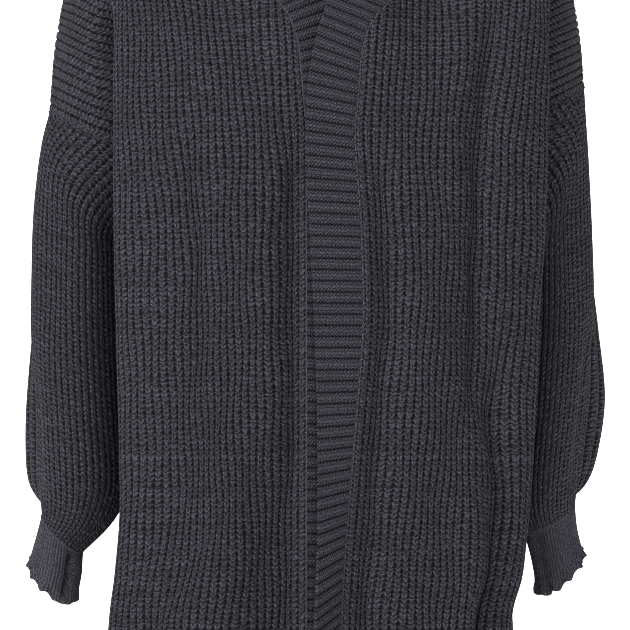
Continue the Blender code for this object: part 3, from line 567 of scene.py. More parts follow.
# Armhole seam as a loop: shoulder, front, underarm, back. For each point it
# gives the angle round the sleeve, the place, and the panel's and the sleeve's
# outward directions there, each turned towards the other as far as the two agree,
# from 0 in the armpit to 1.
def armhole(side, frontEdge, backEdge, frontNormal, backNormal):
    place = np.concatenate([frontEdge[::-1], backEdge[1:]])
    panelNormal = np.concatenate([frontNormal[::-1], backNormal[1:]])
    centre = (place.min(0) + place.max(0)) / 2
    axis = mirror(np.array(armDirection), side)
    away = place - centre
    away = unit(away - (away @ axis)[:, None] * axis)
    agree = ease((panelNormal * away).sum(1) / 0.5 - 0.6)[:, None]
    onPanel = unit(panelNormal + away * agree)
    onSleeve = unit(away + panelNormal * agree)
    half = len(frontEdge)
    way = wayAlong(place)
    angle = np.where(np.arange(len(way)) < half, way / way[half - 1] * np.pi,
                     np.pi + (way - way[half - 1]) / (way[-1] - way[half - 1]) * np.pi)
    start = place + axis * seamGap + panelNormal * (1 - agree) * underarmLift
    return angle, start, onPanel, onSleeve


backBulge = {
    "at": 316,                  # degrees round the sleeve, 0 outward and 90 in front
    "width": 20,
    "backward": 0.6,            # how much of it goes back
}


# Oval ring through its outer and inner points: across, y and height. Behind, a bell
# pushes it out and back, and in front it hangs lower.
def ring(sizes, angle, bulge, drop):
    outerX, outerZ, innerX, innerZ, y, halfDepth = sizes[:6]
    turn = np.cos(angle)
    across = (outerX + innerX) / 2 + (outerX - innerX) / 2 * turn
    height = (outerZ + innerZ) / 2 + (outerZ - innerZ) / 2 * turn
    height = height - drop * np.sin(angle)
    back = np.exp(-((np.degrees(angle) - backBulge["at"]) / backBulge["width"]) ** 2)
    y = y - halfDepth * np.sin(angle) + backBulge["backward"] * bulge * back
    return np.stack([across + bulge * back, y, height], -1)


# Shared outward direction of two walls at their seam, and its lengthening.
def mitred(first, second):
    shared = unit(first + second)
    return shared, np.minimum(1 / np.maximum((shared * first).sum(-1), 0.1), longestMitre)


# Rings of a cuff, seam first, and the way it points.
def cuffPoints(side, angle):
    last = sleeveRings[side][-1]
    seam = mirror(ring(last, angle, last[6], last[7]), side)
    rings = [mirror(ring(row, angle, 0.0, row[6]), side) for row in cuffRings[side]]
    down = unit(rings[-1].mean(0) - seam.mean(0))
    return np.stack([seam + down * seamGap] + rings), down


# Outward directions of a cuff, before its edge is fluted.
def cuffNormals(side, angle):
    return tubeNormals(cuffPoints(side, angle)[0])


# Linear colour and alpha of a hex sRGB colour.
def linearColour(hexText):
    channels = [int(hexText[i:i + 2], 16) / 255 for i in (1, 3, 5)]
    linear = [c / 12.92 if c <= 0.04045 else ((c + 0.055) / 1.055) ** 2.4 for c in channels]
    return (*linear, 1.0)


# One node with its settings. An input is a value, or the output of another node.
def addNode(tree, kind, settings=None, inputs=None):
    made = tree.nodes.new(kind)
    for key, value in (settings or {}).items():
        setattr(made, key, value)
    for key, value in (inputs or {}).items():
        if isinstance(value, bpy.types.NodeSocket):
            tree.links.new(value, made.inputs[key])
        else:
            made.inputs[key].default_value = value
    return made.outputs[0]


# One arithmetic node.
def maths(tree, operation, first, second=0.0, third=0.0):
    return addNode(tree, "ShaderNodeMath", {"operation": operation},
                   {0: first, 1: second, 2: third})


# Soft noise over the knit's own map, stretched along one of its two ways.
def knitNoise(tree, uv, stretch, settings):
    place = addNode(tree, "ShaderNodeVectorMath", {"operation": "MULTIPLY"}, {0: uv, 1: stretch})
    return addNode(tree, "ShaderNodeTexNoise", {"noise_dimensions": "2D"},
                   {"Vector": place, "Scale": 1.0, **settings})


# Soft spun yarn, knitted and left as it comes off the needles: matt, without gloss, pale
# fibres over dark ones and a faint fuzz at its edges. The UV map holds ribs across and
# courses along. In each cell the two legs of a stitch meet in a V, the yarn stands up
# along them, and pits lie between. The colour is darkened in the pits, the grooves and
# the lines where the legs meet, as painted shade.
def knitMaterial(name, look):
    material = bpy.data.materials.new(name)
    material.use_nodes = True
    tree = material.node_tree
    shader = tree.nodes["Principled BSDF"]
    uv = addNode(tree, "ShaderNodeUVMap", {"uv_map": "knit"})
    parts = tree.nodes.new("ShaderNodeSeparateXYZ")
    tree.links.new(uv, parts.inputs[0])
    ribs, courses = parts.outputs[0], parts.outputs[1]
    across = maths(tree, "MULTIPLY", ribs, look["cellsAcross"])
    # uneven tension: stitches lean and sit a little off their place
    wander = addNode(tree, "ShaderNodeTexNoise", {"noise_dimensions": "2D"},
                     {"Vector": uv, "Scale": 0.9, "Detail": 1.0})
    shift = maths(tree, "MULTIPLY_ADD", wander, look["unevenness"], -look["unevenness"] / 2)
    along = maths(tree, "ADD", courses, shift)
    place = maths(tree, "FRACT", across)
    fromMiddle = maths(tree, "ABSOLUTE", maths(tree, "MULTIPLY_ADD", place, 2.0, -1.0))
    lean = place if look["diagonal"] else fromMiddle
    phase = maths(tree, "MULTIPLY_ADD", lean, -look["slope"], along)
    wave = maths(tree, "SINE", maths(tree, "MULTIPLY", phase, 2 * math.pi))
    leg = maths(tree, "MULTIPLY_ADD", wave, 0.5, 0.5)
    beside = maths(tree, "MULTIPLY_ADD", fromMiddle, look["pitToSides"], 1 - look["pitToSides"])
    pit = maths(tree, "MULTIPLY", maths(tree, "SUBTRACT", 1.0, leg), beside)
    # the groove between two ribs, deepest in the gap between two stitches
    ribPlace = maths(tree, "FRACT", ribs)
    fromCrest = maths(tree, "ABSOLUTE", maths(tree, "MULTIPLY_ADD", ribPlace, 2.0, -1.0))
    groove = maths(tree, "POWER", fromCrest, look["grooveSharpness"])
    groove = maths(tree, "MULTIPLY", groove,
                   maths(tree, "MULTIPLY_ADD", leg, -look["grooveBridge"], 1.0))
    # the thin line where the two legs of a stitch meet
    meeting = fromMiddle if look["diagonal"] else maths(tree, "SUBTRACT", 1.0, fromMiddle)
    seam = maths(tree, "POWER", meeting, look["seamSharpness"])
    low = maths(tree, "MULTIPLY_ADD", seam, look["seamDepth"],
                maths(tree, "MULTIPLY", groove, look["grooveDepth"]))
    yarn = maths(tree, "SUBTRACT", 1.0, maths(tree, "MULTIPLY_ADD", pit, look["pitDepth"], low))
    yarn = maths(tree, "MAXIMUM", yarn, 0.0)
    # fibres along the yarn, in light and dark
    fibre = knitNoise(tree, uv, look["fibreStretch"], {"Detail": 3.0, "Roughness": 0.65})
    streak = knitNoise(tree, uv, look["streakStretch"], {"Detail": 2.0})
    coordinates = tree.nodes.new("ShaderNodeTexCoord")
    mottle = addNode(tree, "ShaderNodeTexNoise", None,
                     {"Vector": coordinates.outputs["Object"], "Scale": 9.0, "Detail": 2.0})
    fleck = maths(tree, "MULTIPLY_ADD", fibre, look["heather"], 0.5 - look["heather"] / 2)
    fleck = maths(tree, "MINIMUM", maths(tree, "MAXIMUM", fleck, 0.0), 1.0)
    heather = maths(tree, "MULTIPLY_ADD", streak, look["streaks"], 1 - look["streaks"] / 2)
    heather = maths(tree, "MULTIPLY", heather,
                    maths(tree, "MULTIPLY_ADD", mottle, look["mottle"], 1 - look["mottle"] / 2))
    # painted shade: the colour is darkened where the yarn is low, in the pits, the grooves and
    # the lines where the legs meet, down to a floor of pitShade
    shade = maths(tree, "MULTIPLY_ADD", yarn, 1 - look["pitShade"], look["pitShade"])
    shade = maths(tree, "MULTIPLY", shade, heather)
    tone = addNode(tree, "ShaderNodeMix", {"data_type": "RGBA"},
                   {0: fleck, 6: linearColour(look["dark"]), 7: linearColour(look["light"])})
    colour = addNode(tree, "ShaderNodeVectorMath", {"operation": "SCALE"},
                     {0: tone.node.outputs[2], "Scale": shade})
    tree.links.new(colour, shader.inputs["Base Color"])
    height = maths(tree, "MULTIPLY_ADD", fleck, look["fibreHeight"], yarn)
    bump = addNode(tree, "ShaderNodeBump", None,
                   {"Strength": look["bump"], "Distance": look["stitchHeight"], "Height": height})
    tree.links.new(bump, shader.inputs["Normal"])
    shader.inputs["Roughness"].default_value = look["roughness"]
    shader.inputs["Specular IOR Level"].default_value = look["specular"]
    shader.inputs["Sheen Weight"].default_value = look["fuzz"]
    shader.inputs["Sheen Roughness"].default_value = 0.5
    shader.inputs["Sheen Tint"].default_value = linearColour(look["fuzzColour"])
    return material


# One closed wall of cloth from an outer and an inner grid of the same size, with their
# rims joined. The map holds the rib of each column and the course of each point.
def clothWall(name, outside, inside, ribs, courses, material, node, closed=False):
    rows, columns = outside.shape[:2]
    cells = columns if closed else columns - 1
    r, c = np.meshgrid(np.arange(rows - 1), np.arange(cells), indexing="ij")
    corner = np.stack([(r, c), (r, c + 1), (r + 1, c + 1), (r + 1, c)], -1).reshape(2, -1, 4)
    base = rows * columns
    outer = corner[0] * columns + corner[1] % columns
    quads = [outer, outer[:, ::-1] + base]
    places = [corner, corner[:, :, ::-1]]
    r, c = np.arange(rows - 1), np.arange(cells)
    top, bottom = np.zeros_like(c), np.full_like(c, rows - 1)
    rims = [(top, c, top, c + 1, 1), (bottom, c, bottom, c + 1, -1)]
    if not closed:
        start, end = np.zeros_like(r), np.full_like(r, columns - 1)
        rims += [(r, start, r + 1, start, -1), (r, end, r + 1, end, 1)]
    for fromRow, fromColumn, toRow, toColumn, order in rims:
        a = fromRow * columns + fromColumn
        b = toRow * columns + toColumn % columns
        rim = np.stack([a, a + base, b + base, b], -1)
        at = np.stack([np.stack([fromRow, fromRow, toRow, toRow], -1),
                       np.stack([fromColumn, fromColumn, toColumn, toColumn], -1)])
        quads.append(rim[:, ::order])
        places.append(at[:, :, ::order])
    quads = np.concatenate(quads)
    places = np.concatenate(places, axis=1)
    uv = np.stack([ribs[places[1]], courses[places[0], places[1] % columns]], -1)
    points = np.concatenate([outside.reshape(-1, 3), inside.reshape(-1, 3)])
    a, b, d = points[quads[:, 0]], points[quads[:, 1]], points[quads[:, 3]]
    if (np.cross(b - a, d - a) * a).sum() < 0:
        quads = quads[:, ::-1]
        uv = uv[:, ::-1]
    mesh = bpy.data.meshes.new(name)
    mesh.vertices.add(len(points))
    mesh.vertices.foreach_set("co", points.ravel())
    mesh.loops.add(quads.size)
    mesh.loops.foreach_set("vertex_index", np.ascontiguousarray(quads).ravel())
    mesh.polygons.add(len(quads))
    mesh.polygons.foreach_set("loop_start", np.arange(0, quads.size, 4))
    mesh.update(calc_edges=True)
    layer = mesh.uv_layers.new(name="knit")
    layer.data.foreach_set("uv", np.ascontiguousarray(uv).ravel())
    mesh.shade_smooth()
    mesh.materials.append(material)
    return placed(bpy.data.objects.new(name, mesh), node)


# A piece goes into the scene and rides on the one body.
def placed(piece, node=None):
    bpy.context.scene.collection.objects.link(piece)
    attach(piece, "root")
    if node:
        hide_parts(node)
    return piece


# Courses along each column of a grid: the length from its first row over the
# height of a course.
def courseCount(points, courseHeight):
    step = np.linalg.norm(np.diff(points, axis=0), axis=2)
    way = np.concatenate([np.zeros((1, points.shape[1])), np.cumsum(step, axis=0)])
    return way / courseHeight


# Rounded rib: |sin| raised to a power under one, so crests are full and grooves narrow.
def ribRelief(ribs, look):
    return look["ribHeight"] * np.abs(np.sin(np.pi * ribs)) ** look["roundness"]


# Steps along control rows, so that the rows made are about one spacing apart.
def evenSteps(rows, spacing):
    length = np.linalg.norm(np.diff(rows, axis=0), axis=-1).mean(1)
    steps = [np.linspace(k, k + 1, max(2, math.ceil(size / spacing)), endpoint=False)
             for k, size in enumerate(length)]
    return np.concatenate(steps + [[len(rows) - 1.0]])


panelLook = {
    "ribHeight": 0.0021,        # metres
    "roundness": 0.60,          # lower is rounder
    "columnsPerRib": {"front": 6, "back": 4},
    "rowSpacing": 0.0095,
    "courseHeight": 0.0052,     # height of one stitch
}


# Both fronts and the back, from the hem to the neck and shoulder seams: control rows,
# a smooth curve through them, the folds, and a ribbed wall on that.
def buildPanels(material):
    perRib = panelLook["columnsPerRib"]
    ribs = np.arange(perRib["front"] * panelCut["front"]["ribs"] + 1) / perRib["front"]
    cloth = {f"front_{side}": (mirror(panelRows(side, ribs, "front"), side), ribs)
             for side in ("right", "left")}
    last = perRib["back"] * panelCut["back"]["ribs"]
    ribs = np.arange(-last, last + 1) / perRib["back"]
    halves = [mirror(panelRows("right", -ribs[ribs < 0], "back"), "right"),
              mirror(panelRows("left", ribs[ribs >= 0], "back"), "left")]
    cloth["back"] = (np.concatenate(halves, axis=1), ribs)
    steps = evenSteps(cloth["front_right"][0], panelLook["rowSpacing"])
    grids = {}
    normals = {}
    thickness = {}
    for name, (rows, ribs) in cloth.items():
        points = folded(through(np.arange(len(rows)), rows, steps), ribs, name)
        normal = surfaceNormals(points)
        grids[name] = (points, ribs)
        normals[name] = normal * outwardSign(points, normal)
        crowded = crowding(points, perRib["back" if name == "back" else "front"])
        thickness[name] = wall + ribRelief(ribs, panelLook) * crowded
    start = int(np.searchsorted(steps, underarmRow))
    loops = {}
    for side in ("right", "left"):
        front = f"front_{side}"
        end = 0 if side == "right" else -1
        shareShoulder(grids, normals, side)
        faceArmpit(normals[front], grids[front][1], steps, side, "front")
        faceArmpit(normals["back"], grids["back"][1], steps, side, "back")
        loop = armhole(side, grids[front][0][start:, -1], grids["back"][0][start:, end],
                       normals[front][start:, -1], normals["back"][start:, end])
        loops[side] = loop
        half = len(steps) - start
        normals[front][start:, -1] = loop[2][:half][::-1]
        normals["back"][start:, end] = loop[2][half - 1:]
    for name, (points, ribs) in grids.items():
        normals[name] = calmed(points, normals[name], thickness[name])
        outside = points + normals[name] * thickness[name][..., None]
        piece = clothWall(f"knit_{name}", outside, points, ribs,
                          courseCount(points, panelLook["courseHeight"]), material, name)
    return grids, normals, loops


# The front and the back end on the shoulder seam with one outward direction.
def shareShoulder(grids, normals, side):
    for name, face in ((f"front_{side}", "front"), ("back", "back")):
        neckRibs = panelCut[face]["neckRibs"]
        points, ribs = grids[name]
        if name == "back" and side == "right":
            here = ribs <= -neckRibs + 0.01
        else:
            here = ribs >= neckRibs - 0.01
        tangent = np.gradient(points[-1], axis=0)
        up = np.cross(tangent, (0, 1, 0))
        up = unit(up * np.sign(up[:, 2:3]))
        for row in range(1, shoulderRows + 1):
            share = 1 - (row - 1) / shoulderRows
            own = normals[name][-row, here]
            normals[name][-row, here] = unit(own * (1 - share) + up[here] * share)


# Beside the side seam a panel's wall faces sideways, and in the armpit the arm.
def faceArmpit(normals, ribs, steps, side, face):
    sign = panelCut[face]["sign"]
    sideways = mirror(np.array((1.0, 0, 0)), side)
    armpit = unit(sideways * 0.8 + np.array((0, 0.6 * sign, 0)))
    last = panelCut[face]["ribs"]
    far = last - (-ribs if side == "right" and face == "back" else ribs)
    below = steps <= underarmRow
    near = np.clip(1 - np.abs(steps - underarmRow - 1), 0, 1)
    for reach, rows, toward in ((seamRibs, below, sideways), (armpitRibs, near, armpit)):
        share = ((1 - ease(far / reach)) * (far < last))[None, :, None] * rows[:, None, None]
        normals[:] = unit(normals * (1 - share) + toward * share)


bandLook = {
    "ribPitch": 0.0108,
    "ribHeight": 0.0026,
    "roundness": 0.55,
    "stationsPerRib": 8,
    "rowsAcross": 13,
    "stitchWidth": 0.0032,
    "seamGap": 0.0005,
    "cornerGap": 0.0013,        # more over the high shoulder points
    "cornerReach": 0.020,
    "crown": 0.0006,            # the strip is a little fuller in its middle
    "ribAtSeam": 0.55,          # share of its height that a rib keeps at the seam
    "selvedge": 0.0017,         # its free edge is a plain raised line
    "selvedgeWidth": 0.055,     # as a share of the strip's width
}


# One strip with ribs across it, from hem to hem round the neck: straight across from
# the seam of the panels to the free edge of the table, a little crowned.
def buildBand(grids, normals, material):
    seams = []
    for side in ("right", "left"):
        points, ribs = grids[f"front_{side}"]
        normal = normals[f"front_{side}"]
        onNeck = ribs <= panelCut["front"]["neckRibs"] + 0.001
        seams.append((np.concatenate([points[:-1, 0], points[-1, onNeck]]),
                      np.concatenate([normal[:-1, 0], normal[-1, onNeck]])))
    points, ribs = grids["back"]
    onNeck = np.abs(ribs) <= panelCut["back"]["neckRibs"] + 0.001
    behind = (points[-1, onNeck], normals["back"][-1, onNeck])
    place, facing = (np.concatenate([seams[0][k], behind[k], seams[1][k][::-1]]) for k in (0, 1))
    way = wayAlong(place)
    count = int(round(way[-1] / bandLook["ribPitch"]))
    at = np.linspace(0, way[-1], bandLook["stationsPerRib"] * count + 1)
    seam = readOff(at, way, place)
    out = unit(readOff(at, way, facing))
    middle = way[-1] / 2
    along = np.where(at < middle, at, way[-1] - at)
    free = np.empty_like(seam)
    centre = np.array((middle, 0.0, bandBackEdge[2] - backNeck[0, 3],
                       bandBackEdge[1] - backNeck[0, 2]))
    for side, here in (("right", at < middle), ("left", at >= middle)):
        sign = -1 if side == "right" else 1
        table = np.vstack([bandEdge[side], centre])
        edge = through(table[:, 0], table[:, 1:], along[here])
        free[here, 0] = sign * edge[:, 0]
        free[here, 1] = seam[here, 1] + edge[:, 2]
        free[here, 2] = seam[here, 2] + edge[:, 1]
    across = unit(free - seam)
    corner = way[len(seams[0][0]) - 1]
    nearCorner = np.exp(-((along - corner) / bandLook["cornerReach"]) ** 2)[:, None]
    seam = seam + across * (bandLook["seamGap"] + bandLook["cornerGap"] * nearCorner)
    own = unit(np.cross(np.gradient(seam, axis=0), across))
    own *= np.sign((own * out).sum(1, keepdims=True))
    share = np.linspace(0, 1, bandLook["rowsAcross"])
    share = (share + ease(share)) / 2
    t = share[:, None, None]
    normal = unit(out * (1 - t) + own * t)
    inside = seam * (1 - t) + free * t + normal * bandLook["crown"] * np.sin(np.pi * t)
    ribs = at / way[-1] * count
    edgeShare = np.minimum(1, bandLook["ribAtSeam"] + 3.0 * share * (1.2 - share))[:, None]
    nearEdge = np.exp(-((1 - share) / bandLook["selvedgeWidth"]) ** 2)[:, None]
    crest = ribRelief(ribs, bandLook) * edgeShare * (1 - 0.7 * nearEdge)
    crest = crest + bandLook["selvedge"] * nearEdge
    outside = inside + normal * (wall + crest)[..., None]
    width = np.linalg.norm(free - seam, axis=1)
    stitches = share[:, None] * width / bandLook["stitchWidth"]
    piece = clothWall("knit_band", outside, inside, ribs, stitches, material, "band")
    return seam, out


sleeveLook = {
    "ribHeight": 0.0021,
    "roundness": 0.75,
    "columnsPerRib": 6,
    "rowSpacing": 0.0080,
    "courseHeight": 0.0050,
    "seamReach": 0.5,           # rings over which the wall turns at the armhole
    "cuffReach": 0.7,           # and at the cuff
    "rowsPastArmhole": 20,      # the tube is plain below these rows
}


# Balloon sleeve from the armhole seam to the cuff seam: rings of the table, with the
# armhole as the first.
def buildSleeve(side, loop, material):
    perRib = sleeveLook["columnsPerRib"]
    ribs = np.arange(perRib * sleeveRibs) / perRib
    angle = ribs / sleeveRibs * 2 * np.pi
    seamAngle, place, _, outward = loop
    first = readOff(angle, seamAngle, place)
    facing = unit(readOff(angle, seamAngle, outward))
    rings = [mirror(ring(row, angle, row[6], row[7]), side) for row in sleeveRings[side]]
    rows = np.stack([first] + rings)
    steps = evenSteps(rows, sleeveLook["rowSpacing"])
    base = through(np.arange(len(rows)), rows, steps)
    free = ease(steps)[:, None, None]
    points = base + (folded(base, ribs, f"sleeve_{side}", sleeveRibs) - base) * free
    normal = tubeNormals(points, sleeveLook["rowsPastArmhole"])
    shared, stretch = mitred(normal[-1], cuffNormals(side, angle)[0])
    start = (1 - ease(steps / sleeveLook["seamReach"]))[:, None, None]
    reach = sleeveLook["cuffReach"]
    end = ease((steps - steps[-1] + reach) / reach)[:, None]
    normal = unit(normal * (1 - start) + facing * start)
    normal = unit(normal * (1 - end[..., None]) + shared * end[..., None])
    thick = wall + ribRelief(ribs, sleeveLook) * crowding(points, perRib, closed=True)
    thick *= 1 + (stretch - 1) * end
    outside = points + normal * thick[..., None]
    ribMarks = np.append(ribs, sleeveRibs)
    piece = clothWall(f"knit_sleeve_{side}", outside, points, ribMarks,
                      courseCount(points, sleeveLook["courseHeight"]), material,
                      f"sleeve_{side}", closed=True)
    return first, facing, angle, normal[-1], stretch


cuffLook = {
    "notch": 0.28,              # how far a fold draws the edge up, for its depth
    "ribs": 52,
    "ribHeight": 0.0010,
    "roundness": 0.9,
    "columnsPerRib": 6,
    "rowSpacing": 0.0015,
    "courseHeight": 0.0026,
    "frillWaves": 11,
    "frill": 0.0020,            # metres in and out at the rim
    "curl": 0.0018,             # and up and down
    "rimReach": 1.35,           # rings over which the cuff flutes
    "seamReach": 0.7,           # and over which its wall turns at the seam
    "foldReach": 0.5,           # and over which its creases come in
}

# Creases of the cuffs: inward ones are negative
cuffFolds = {
    "right": np.array([
        # angle in degrees, half width, depth
        (120, 7, -0.0180),
        (82, 16, 0.0020),
        (205, 22, -0.0030),
    ]),
    "left": np.array([
        (60, 15, -0.0022),
        (128, 13, -0.0030),
        (230, 22, -0.0030),
    ]),
}


# Short fine-ribbed cuff, with a fluted edge that is stretched by its last course.
def buildCuff(side, seamAngle, seamNormal, seamStretch, material):
    perRib = cuffLook["columnsPerRib"]
    ribs = np.arange(perRib * cuffLook["ribs"]) / perRib
    angle = ribs / cuffLook["ribs"] * 2 * np.pi
    rows, down = cuffPoints(side, angle)
    steps = evenSteps(rows, cuffLook["rowSpacing"])
    points = through(np.arange(len(rows)), rows, steps)
    normal = tubeNormals(points)
    shared = unit(readOff(angle, seamAngle, seamNormal, period=2 * np.pi))
    stretch = np.interp(angle, seamAngle, seamStretch, period=2 * np.pi)
    start = (1 - ease(steps / cuffLook["seamReach"]))[:, None]
    normal = unit(normal * (1 - start[..., None]) + shared * start[..., None])
    away = ease(steps / cuffLook["foldReach"])[:, None]
    degrees = np.degrees(angle)
    for at, half, depth in cuffFolds[side]:
        far = np.abs((degrees - at + 180) % 360 - 180)
        fold = np.exp(-(far / half) ** 2)
        points = points + normal * (depth * fold * away)[..., None]
        notch = cuffLook["notch"] * min(depth, 0) * fold ** 3 * ease((steps - 1) / 2)[:, None]
        points = points + down * notch[..., None]
    reach = cuffLook["rimReach"]
    flare = ease((steps - steps[-1] + reach) / reach)[:, None]
    wave = np.sin(cuffLook["frillWaves"] * angle)
    lift = np.cos(cuffLook["frillWaves"] * angle)
    points = points + normal * (cuffLook["frill"] * wave * flare)[..., None]
    points = points + down * (cuffLook["curl"] * lift * flare ** 2)[..., None]
    thick = cuffWall + ribRelief(ribs, cuffLook) * np.ones((len(steps), 1))
    thick *= 1 + (stretch - 1) * start
    outside = points + normal * thick[..., None]
    ribMarks = np.append(ribs, cuffLook["ribs"])
    piece = clothWall(f"knit_cuff_{side}", outside, points, ribMarks,
                      courseCount(points, cuffLook["courseHeight"]), material,
                      f"cuff_{side}", closed=True)


sewingLook = {
    "radius": 0.0011,
    "sides": 6,
    "stitchLength": 0.0042,     # one turn of the linking chain
    "wander": 0.00035,          # how far the chain swings from side to side
    "swell": 0.22,              # how much thicker it is in the middle of a stitch
    "pointsPerStitch": 4,
    "bandLift": 0.4,            # shares of its radius that it stands off the wall
    "cuffLift": 0.5,
}


# A linked seam: a thin chain of yarn along points, swinging a little at each stitch.
def sewnChain(name, places, facing, material, closed=False):
    if closed:
        places = np.vstack([places, places[:1]])
        facing = np.vstack([facing, facing[:1]])
    way = wayAlong(places)
    stitches = int(round(way[-1] / sewingLook["stitchLength"]))
    stations = sewingLook["pointsPerStitch"] * stitches + (0 if closed else 1)
    at = np.linspace(0, way[-1], stations, endpoint=not closed)
    line = readOff(at, way, places)
    out = unit(readOff(at, way, facing))
    tangent = unit(stepsAlong(line, 0, closed))
    out = unit(out - tangent * (out * tangent).sum(1, keepdims=True))
    sideways = np.cross(tangent, out)
    turn = at / way[-1] * stitches * 2 * np.pi
    line = line + sideways * (sewingLook["wander"] * np.sin(turn))[:, None]
    size = sewingLook["radius"] * (1 + sewingLook["swell"] * np.cos(turn))
    angle = np.arange(sewingLook["sides"]) / sewingLook["sides"] * 2 * np.pi
    loop = out[:, None] * np.cos(angle)[:, None] + sideways[:, None] * np.sin(angle)[:, None]
    tube = line[:, None] + loop * size[:, None, None]
    rows, columns = tube.shape[:2]
    spans = rows if closed else rows - 1
    r, c = np.meshgrid(np.arange(spans), np.arange(columns), indexing="ij")
    here, onward = r * columns, (r + 1) % rows * columns
    beside = (c + 1) % columns
    quads = np.stack([here + c, here + beside, onward + beside, onward + c], -1).reshape(-1, 4)
    faces = quads.tolist()
    if not closed:
        faces += [list(range(columns))[::-1], list(range((rows - 1) * columns, rows * columns))]
    points = tube.reshape(-1, 3)
    mesh = bpy.data.meshes.new(name)
    mesh.from_pydata(points.tolist(), [], faces)
    layer = mesh.uv_layers.new(name="knit")
    corners = np.empty(len(mesh.loops), int)
    mesh.loops.foreach_get("vertex_index", corners)
    uv = np.stack([corners % columns / columns * 2, turn[corners // columns] / np.pi], -1)
    layer.data.foreach_set("uv", uv.ravel())
    mesh.shade_smooth()
    mesh.materials.append(material)
    a, b, d = points[quads[:, 0]], points[quads[:, 1]], points[quads[:, 3]]
    middle = line[quads[:, 0] // columns]
    if (np.cross(b - a, d - a) * (a - middle)).sum() < 0:
        mesh.flip_normals()
    piece = placed(bpy.data.objects.new(name, mesh))
    return piece


# Half cardigan rib of the body and sleeves
ribKnitLook = {
    "light": "#5b5963", "dark": "#18171c",
    "cellsAcross": 1.0, "slope": 0.55, "diagonal": False,
    "grooveSharpness": 4.0, "grooveDepth": 1.2, "grooveBridge": 0.45,
    "pitDepth": 0.85, "pitToSides": 0.35, "pitShade": 0.10,
    "seamDepth": 0.35, "seamSharpness": 5.0, "mottle": 0.16,
    "unevenness": 1.35, "heather": 2.6, "streaks": 0.50,
    "fibreStretch": (5.0, 3.4, 1.0), "streakStretch": (0.10, 0.55, 1.0),
    "bump": 1.0, "stitchHeight": 0.0014, "fibreHeight": 0.15,   # metres; share of a stitch
    "roughness": 0.95, "specular": 0.12, "fuzz": 0.04, "fuzzColour": "#a9a6b4",
}

# Ribs across the strip, with one leg of each stitch in view
bandKnitLook = ribKnitLook | {
    "light": "#56545e", "dark": "#1c1b20",
    "cellsAcross": 3.0, "diagonal": True, "slope": 0.8,
    "grooveSharpness": 3.0, "grooveDepth": 1.0, "pitDepth": 0.70, "pitShade": 0.16,
    "seamDepth": 0.45, "unevenness": 0.40, "streaks": 0.30, "stitchHeight": 0.0009,
    "fibreStretch": (8.0, 1.8, 1.0), "streakStretch": (0.9, 0.05, 1.0),
}

# Finer and tighter, with shallow grooves
cuffKnitLook = ribKnitLook | {
    "light": "#59575f", "dark": "#1f1d25",
    "grooveDepth": 0.55, "pitDepth": 0.40, "pitShade": 0.35, "seamDepth": 0.1,
    "unevenness": 0.25, "heather": 2.4, "streaks": 0.35, "slope": 0.5,
    "fibreStretch": (2.0, 1.2, 1.0), "streakStretch": (0.25, 0.08, 1.0),
    "stitchHeight": 0.0006, "fuzz": 0.08,
}

# The linking yarn of the seams, a little paler
yarnLook = ribKnitLook | {
    "light": "#67656f", "dark": "#323138", "grooveDepth": 0.3, "pitDepth": 0.5,
    "stitchHeight": 0.0004, "fibreStretch": (2.0, 2.0, 1.0),
}

studioLook = {
    "floorHeight": -1.50,
    "backWall": 7.0,            # metres behind the garment
    "nearEdge": -9.0,
    "halfWidth": 9.0,
    "wallTop": 7.0,
    "bend": 1.2,                # radius between floor and wall
    "paper": "#f7f7f7",
    "paperGlow": 0.95,          # keeps the pale paper even, as in the photo
    "ambient": 0.30,
    "cameraPlace": (-0.005, -3.5, -0.415),
    "frameWidth": 0.63,         # metres across the picture, in the plane below
    "frameDistance": 3.44,
    "imageSize": 630,
}


# Paper sweep: floor, a quarter-round bend and a wall in one sheet.
def buildStudio():
    look = studioLook
    bend = look["bend"]
    turn = np.linspace(0, np.pi / 2, 17)
    profile = [(look["nearEdge"], look["floorHeight"])]
    profile += [(look["backWall"] - bend + bend * math.sin(a),
                 look["floorHeight"] + bend - bend * math.cos(a)) for a in turn]
    profile += [(look["backWall"], look["wallTop"])]
    points = [(x, y, z) for y, z in profile for x in (-look["halfWidth"], look["halfWidth"])]
    faces = [(2 * k, 2 * k + 1, 2 * k + 3, 2 * k + 2) for k in range(len(profile) - 1)]
    mesh = bpy.data.meshes.new("paper_sweep")
    mesh.from_pydata(points, [], faces)
    mesh.shade_smooth()
    paper = bpy.data.materials.new("studio paper")
    paper.use_nodes = True
    shader = paper.node_tree.nodes["Principled BSDF"]
    shader.inputs["Base Color"].default_value = linearColour(look["paper"])
    shader.inputs["Roughness"].default_value = 0.9
    shader.inputs["Emission Color"].default_value = linearColour("#ffffff")
    shader.inputs["Emission Strength"].default_value = look["paperGlow"]
    mesh.materials.append(paper)
    sweep = bpy.data.objects.new("paper_sweep", mesh)
    bpy.context.scene.collection.objects.link(sweep)


# Soft boxes: name, place, target, size, power
softBoxes = [
    ("key", (-3.2, -1.9, 1.5), (0.0, 0.0, -0.45), 1.2, 105.0),
    ("fill", (0.9, -3.6, 0.0), (0.0, 0.0, -0.45), 2.2, 22.0),
    ("top", (-0.1, -0.9, 1.2), (0.0, 0.0, -0.10), 0.9, 17.0),
    ("rim", (0.0, 2.4, 1.4), (0.0, 0.0, -0.30), 1.8, 25.0),
]


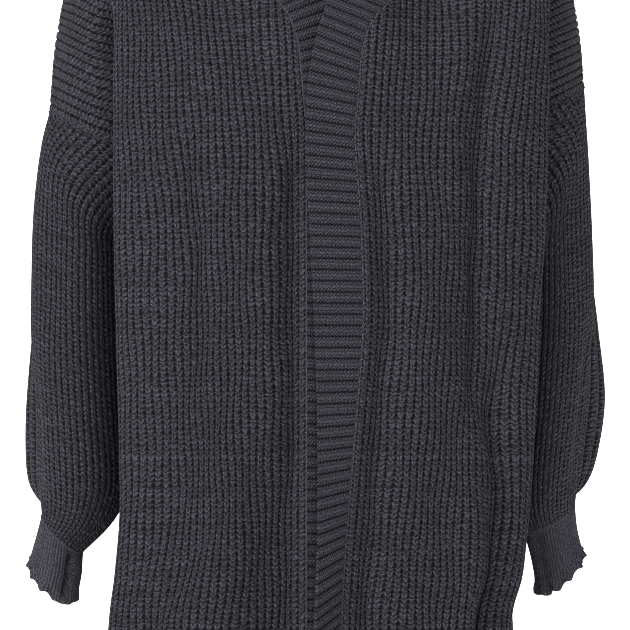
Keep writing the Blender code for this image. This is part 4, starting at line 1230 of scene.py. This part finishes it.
# Lights, world and camera at the photo's angle and framing.
def buildLightsAndCamera():
    look = studioLook
    scene = bpy.context.scene
    for name, place, target, size, power in softBoxes:
        light = bpy.data.lights.new(name, "AREA")
        light.energy = power
        light.size = size
        lamp = bpy.data.objects.new(name, light)
        lamp.location = place
        lamp.rotation_euler = (Vector(target) - Vector(place)).to_track_quat("-Z", "Y").to_euler()
        scene.collection.objects.link(lamp)
    world = bpy.data.worlds.new("studio air")
    world.use_nodes = True
    sky = world.node_tree.nodes["Background"]
    sky.inputs["Color"].default_value = (1.0, 1.0, 1.0, 1.0)
    sky.inputs["Strength"].default_value = look["ambient"]
    scene.world = world
    camera = bpy.data.cameras.new("camera")
    camera.sensor_width = 36.0
    camera.lens = camera.sensor_width * look["frameDistance"] / look["frameWidth"]
    eye = bpy.data.objects.new("camera", camera)
    eye.location = look["cameraPlace"]
    eye.rotation_euler = (math.pi / 2, 0.0, 0.0)
    scene.collection.objects.link(eye)
    scene.camera = eye
    scene.render.resolution_x = look["imageSize"]
    scene.render.resolution_y = look["imageSize"]
    scene.render.engine = "CYCLES"
    scene.cycles.filter_width = 1.0
    scene.view_settings.view_transform = "Standard"


# Everything, in the order in which it is sewn.
def main():
    bodyKnit = knitMaterial("charcoal half cardigan rib", ribKnitLook)
    bandKnit = knitMaterial("charcoal crosswise rib", bandKnitLook)
    cuffKnit = knitMaterial("charcoal fine rib", cuffKnitLook)
    yarn = knitMaterial("charcoal linking yarn", yarnLook)
    grids, normals, loops = buildPanels(bodyKnit)
    print("stage: panels")
    seam, out = buildBand(grids, normals, bandKnit)
    lift = wall + sewingLook["radius"] * sewingLook["bandLift"]
    sewnChain("sewn_band_seam", seam + out * lift, out, yarn)
    print("stage: band")
    for side in ("right", "left"):
        first, facing, angle, cuffNormal, stretch = buildSleeve(side, loops[side], bodyKnit)
        sewnChain(f"sewn_armhole_{side}", first + facing * lift, facing, yarn,
                  closed=True)
        buildCuff(side, angle, cuffNormal, stretch, cuffKnit)
        cuffSeam = cuffPoints(side, angle)[0][0]
        cuffLift = cuffWall * stretch + sewingLook["radius"] * sewingLook["cuffLift"]
        sewnChain(f"sewn_cuff_{side}", cuffSeam + cuffNormal * cuffLift[:, None], cuffNormal,
                  yarn, closed=True)
        print("stage: sleeve", side)
    buildStudio()
    buildLightsAndCamera()


main()
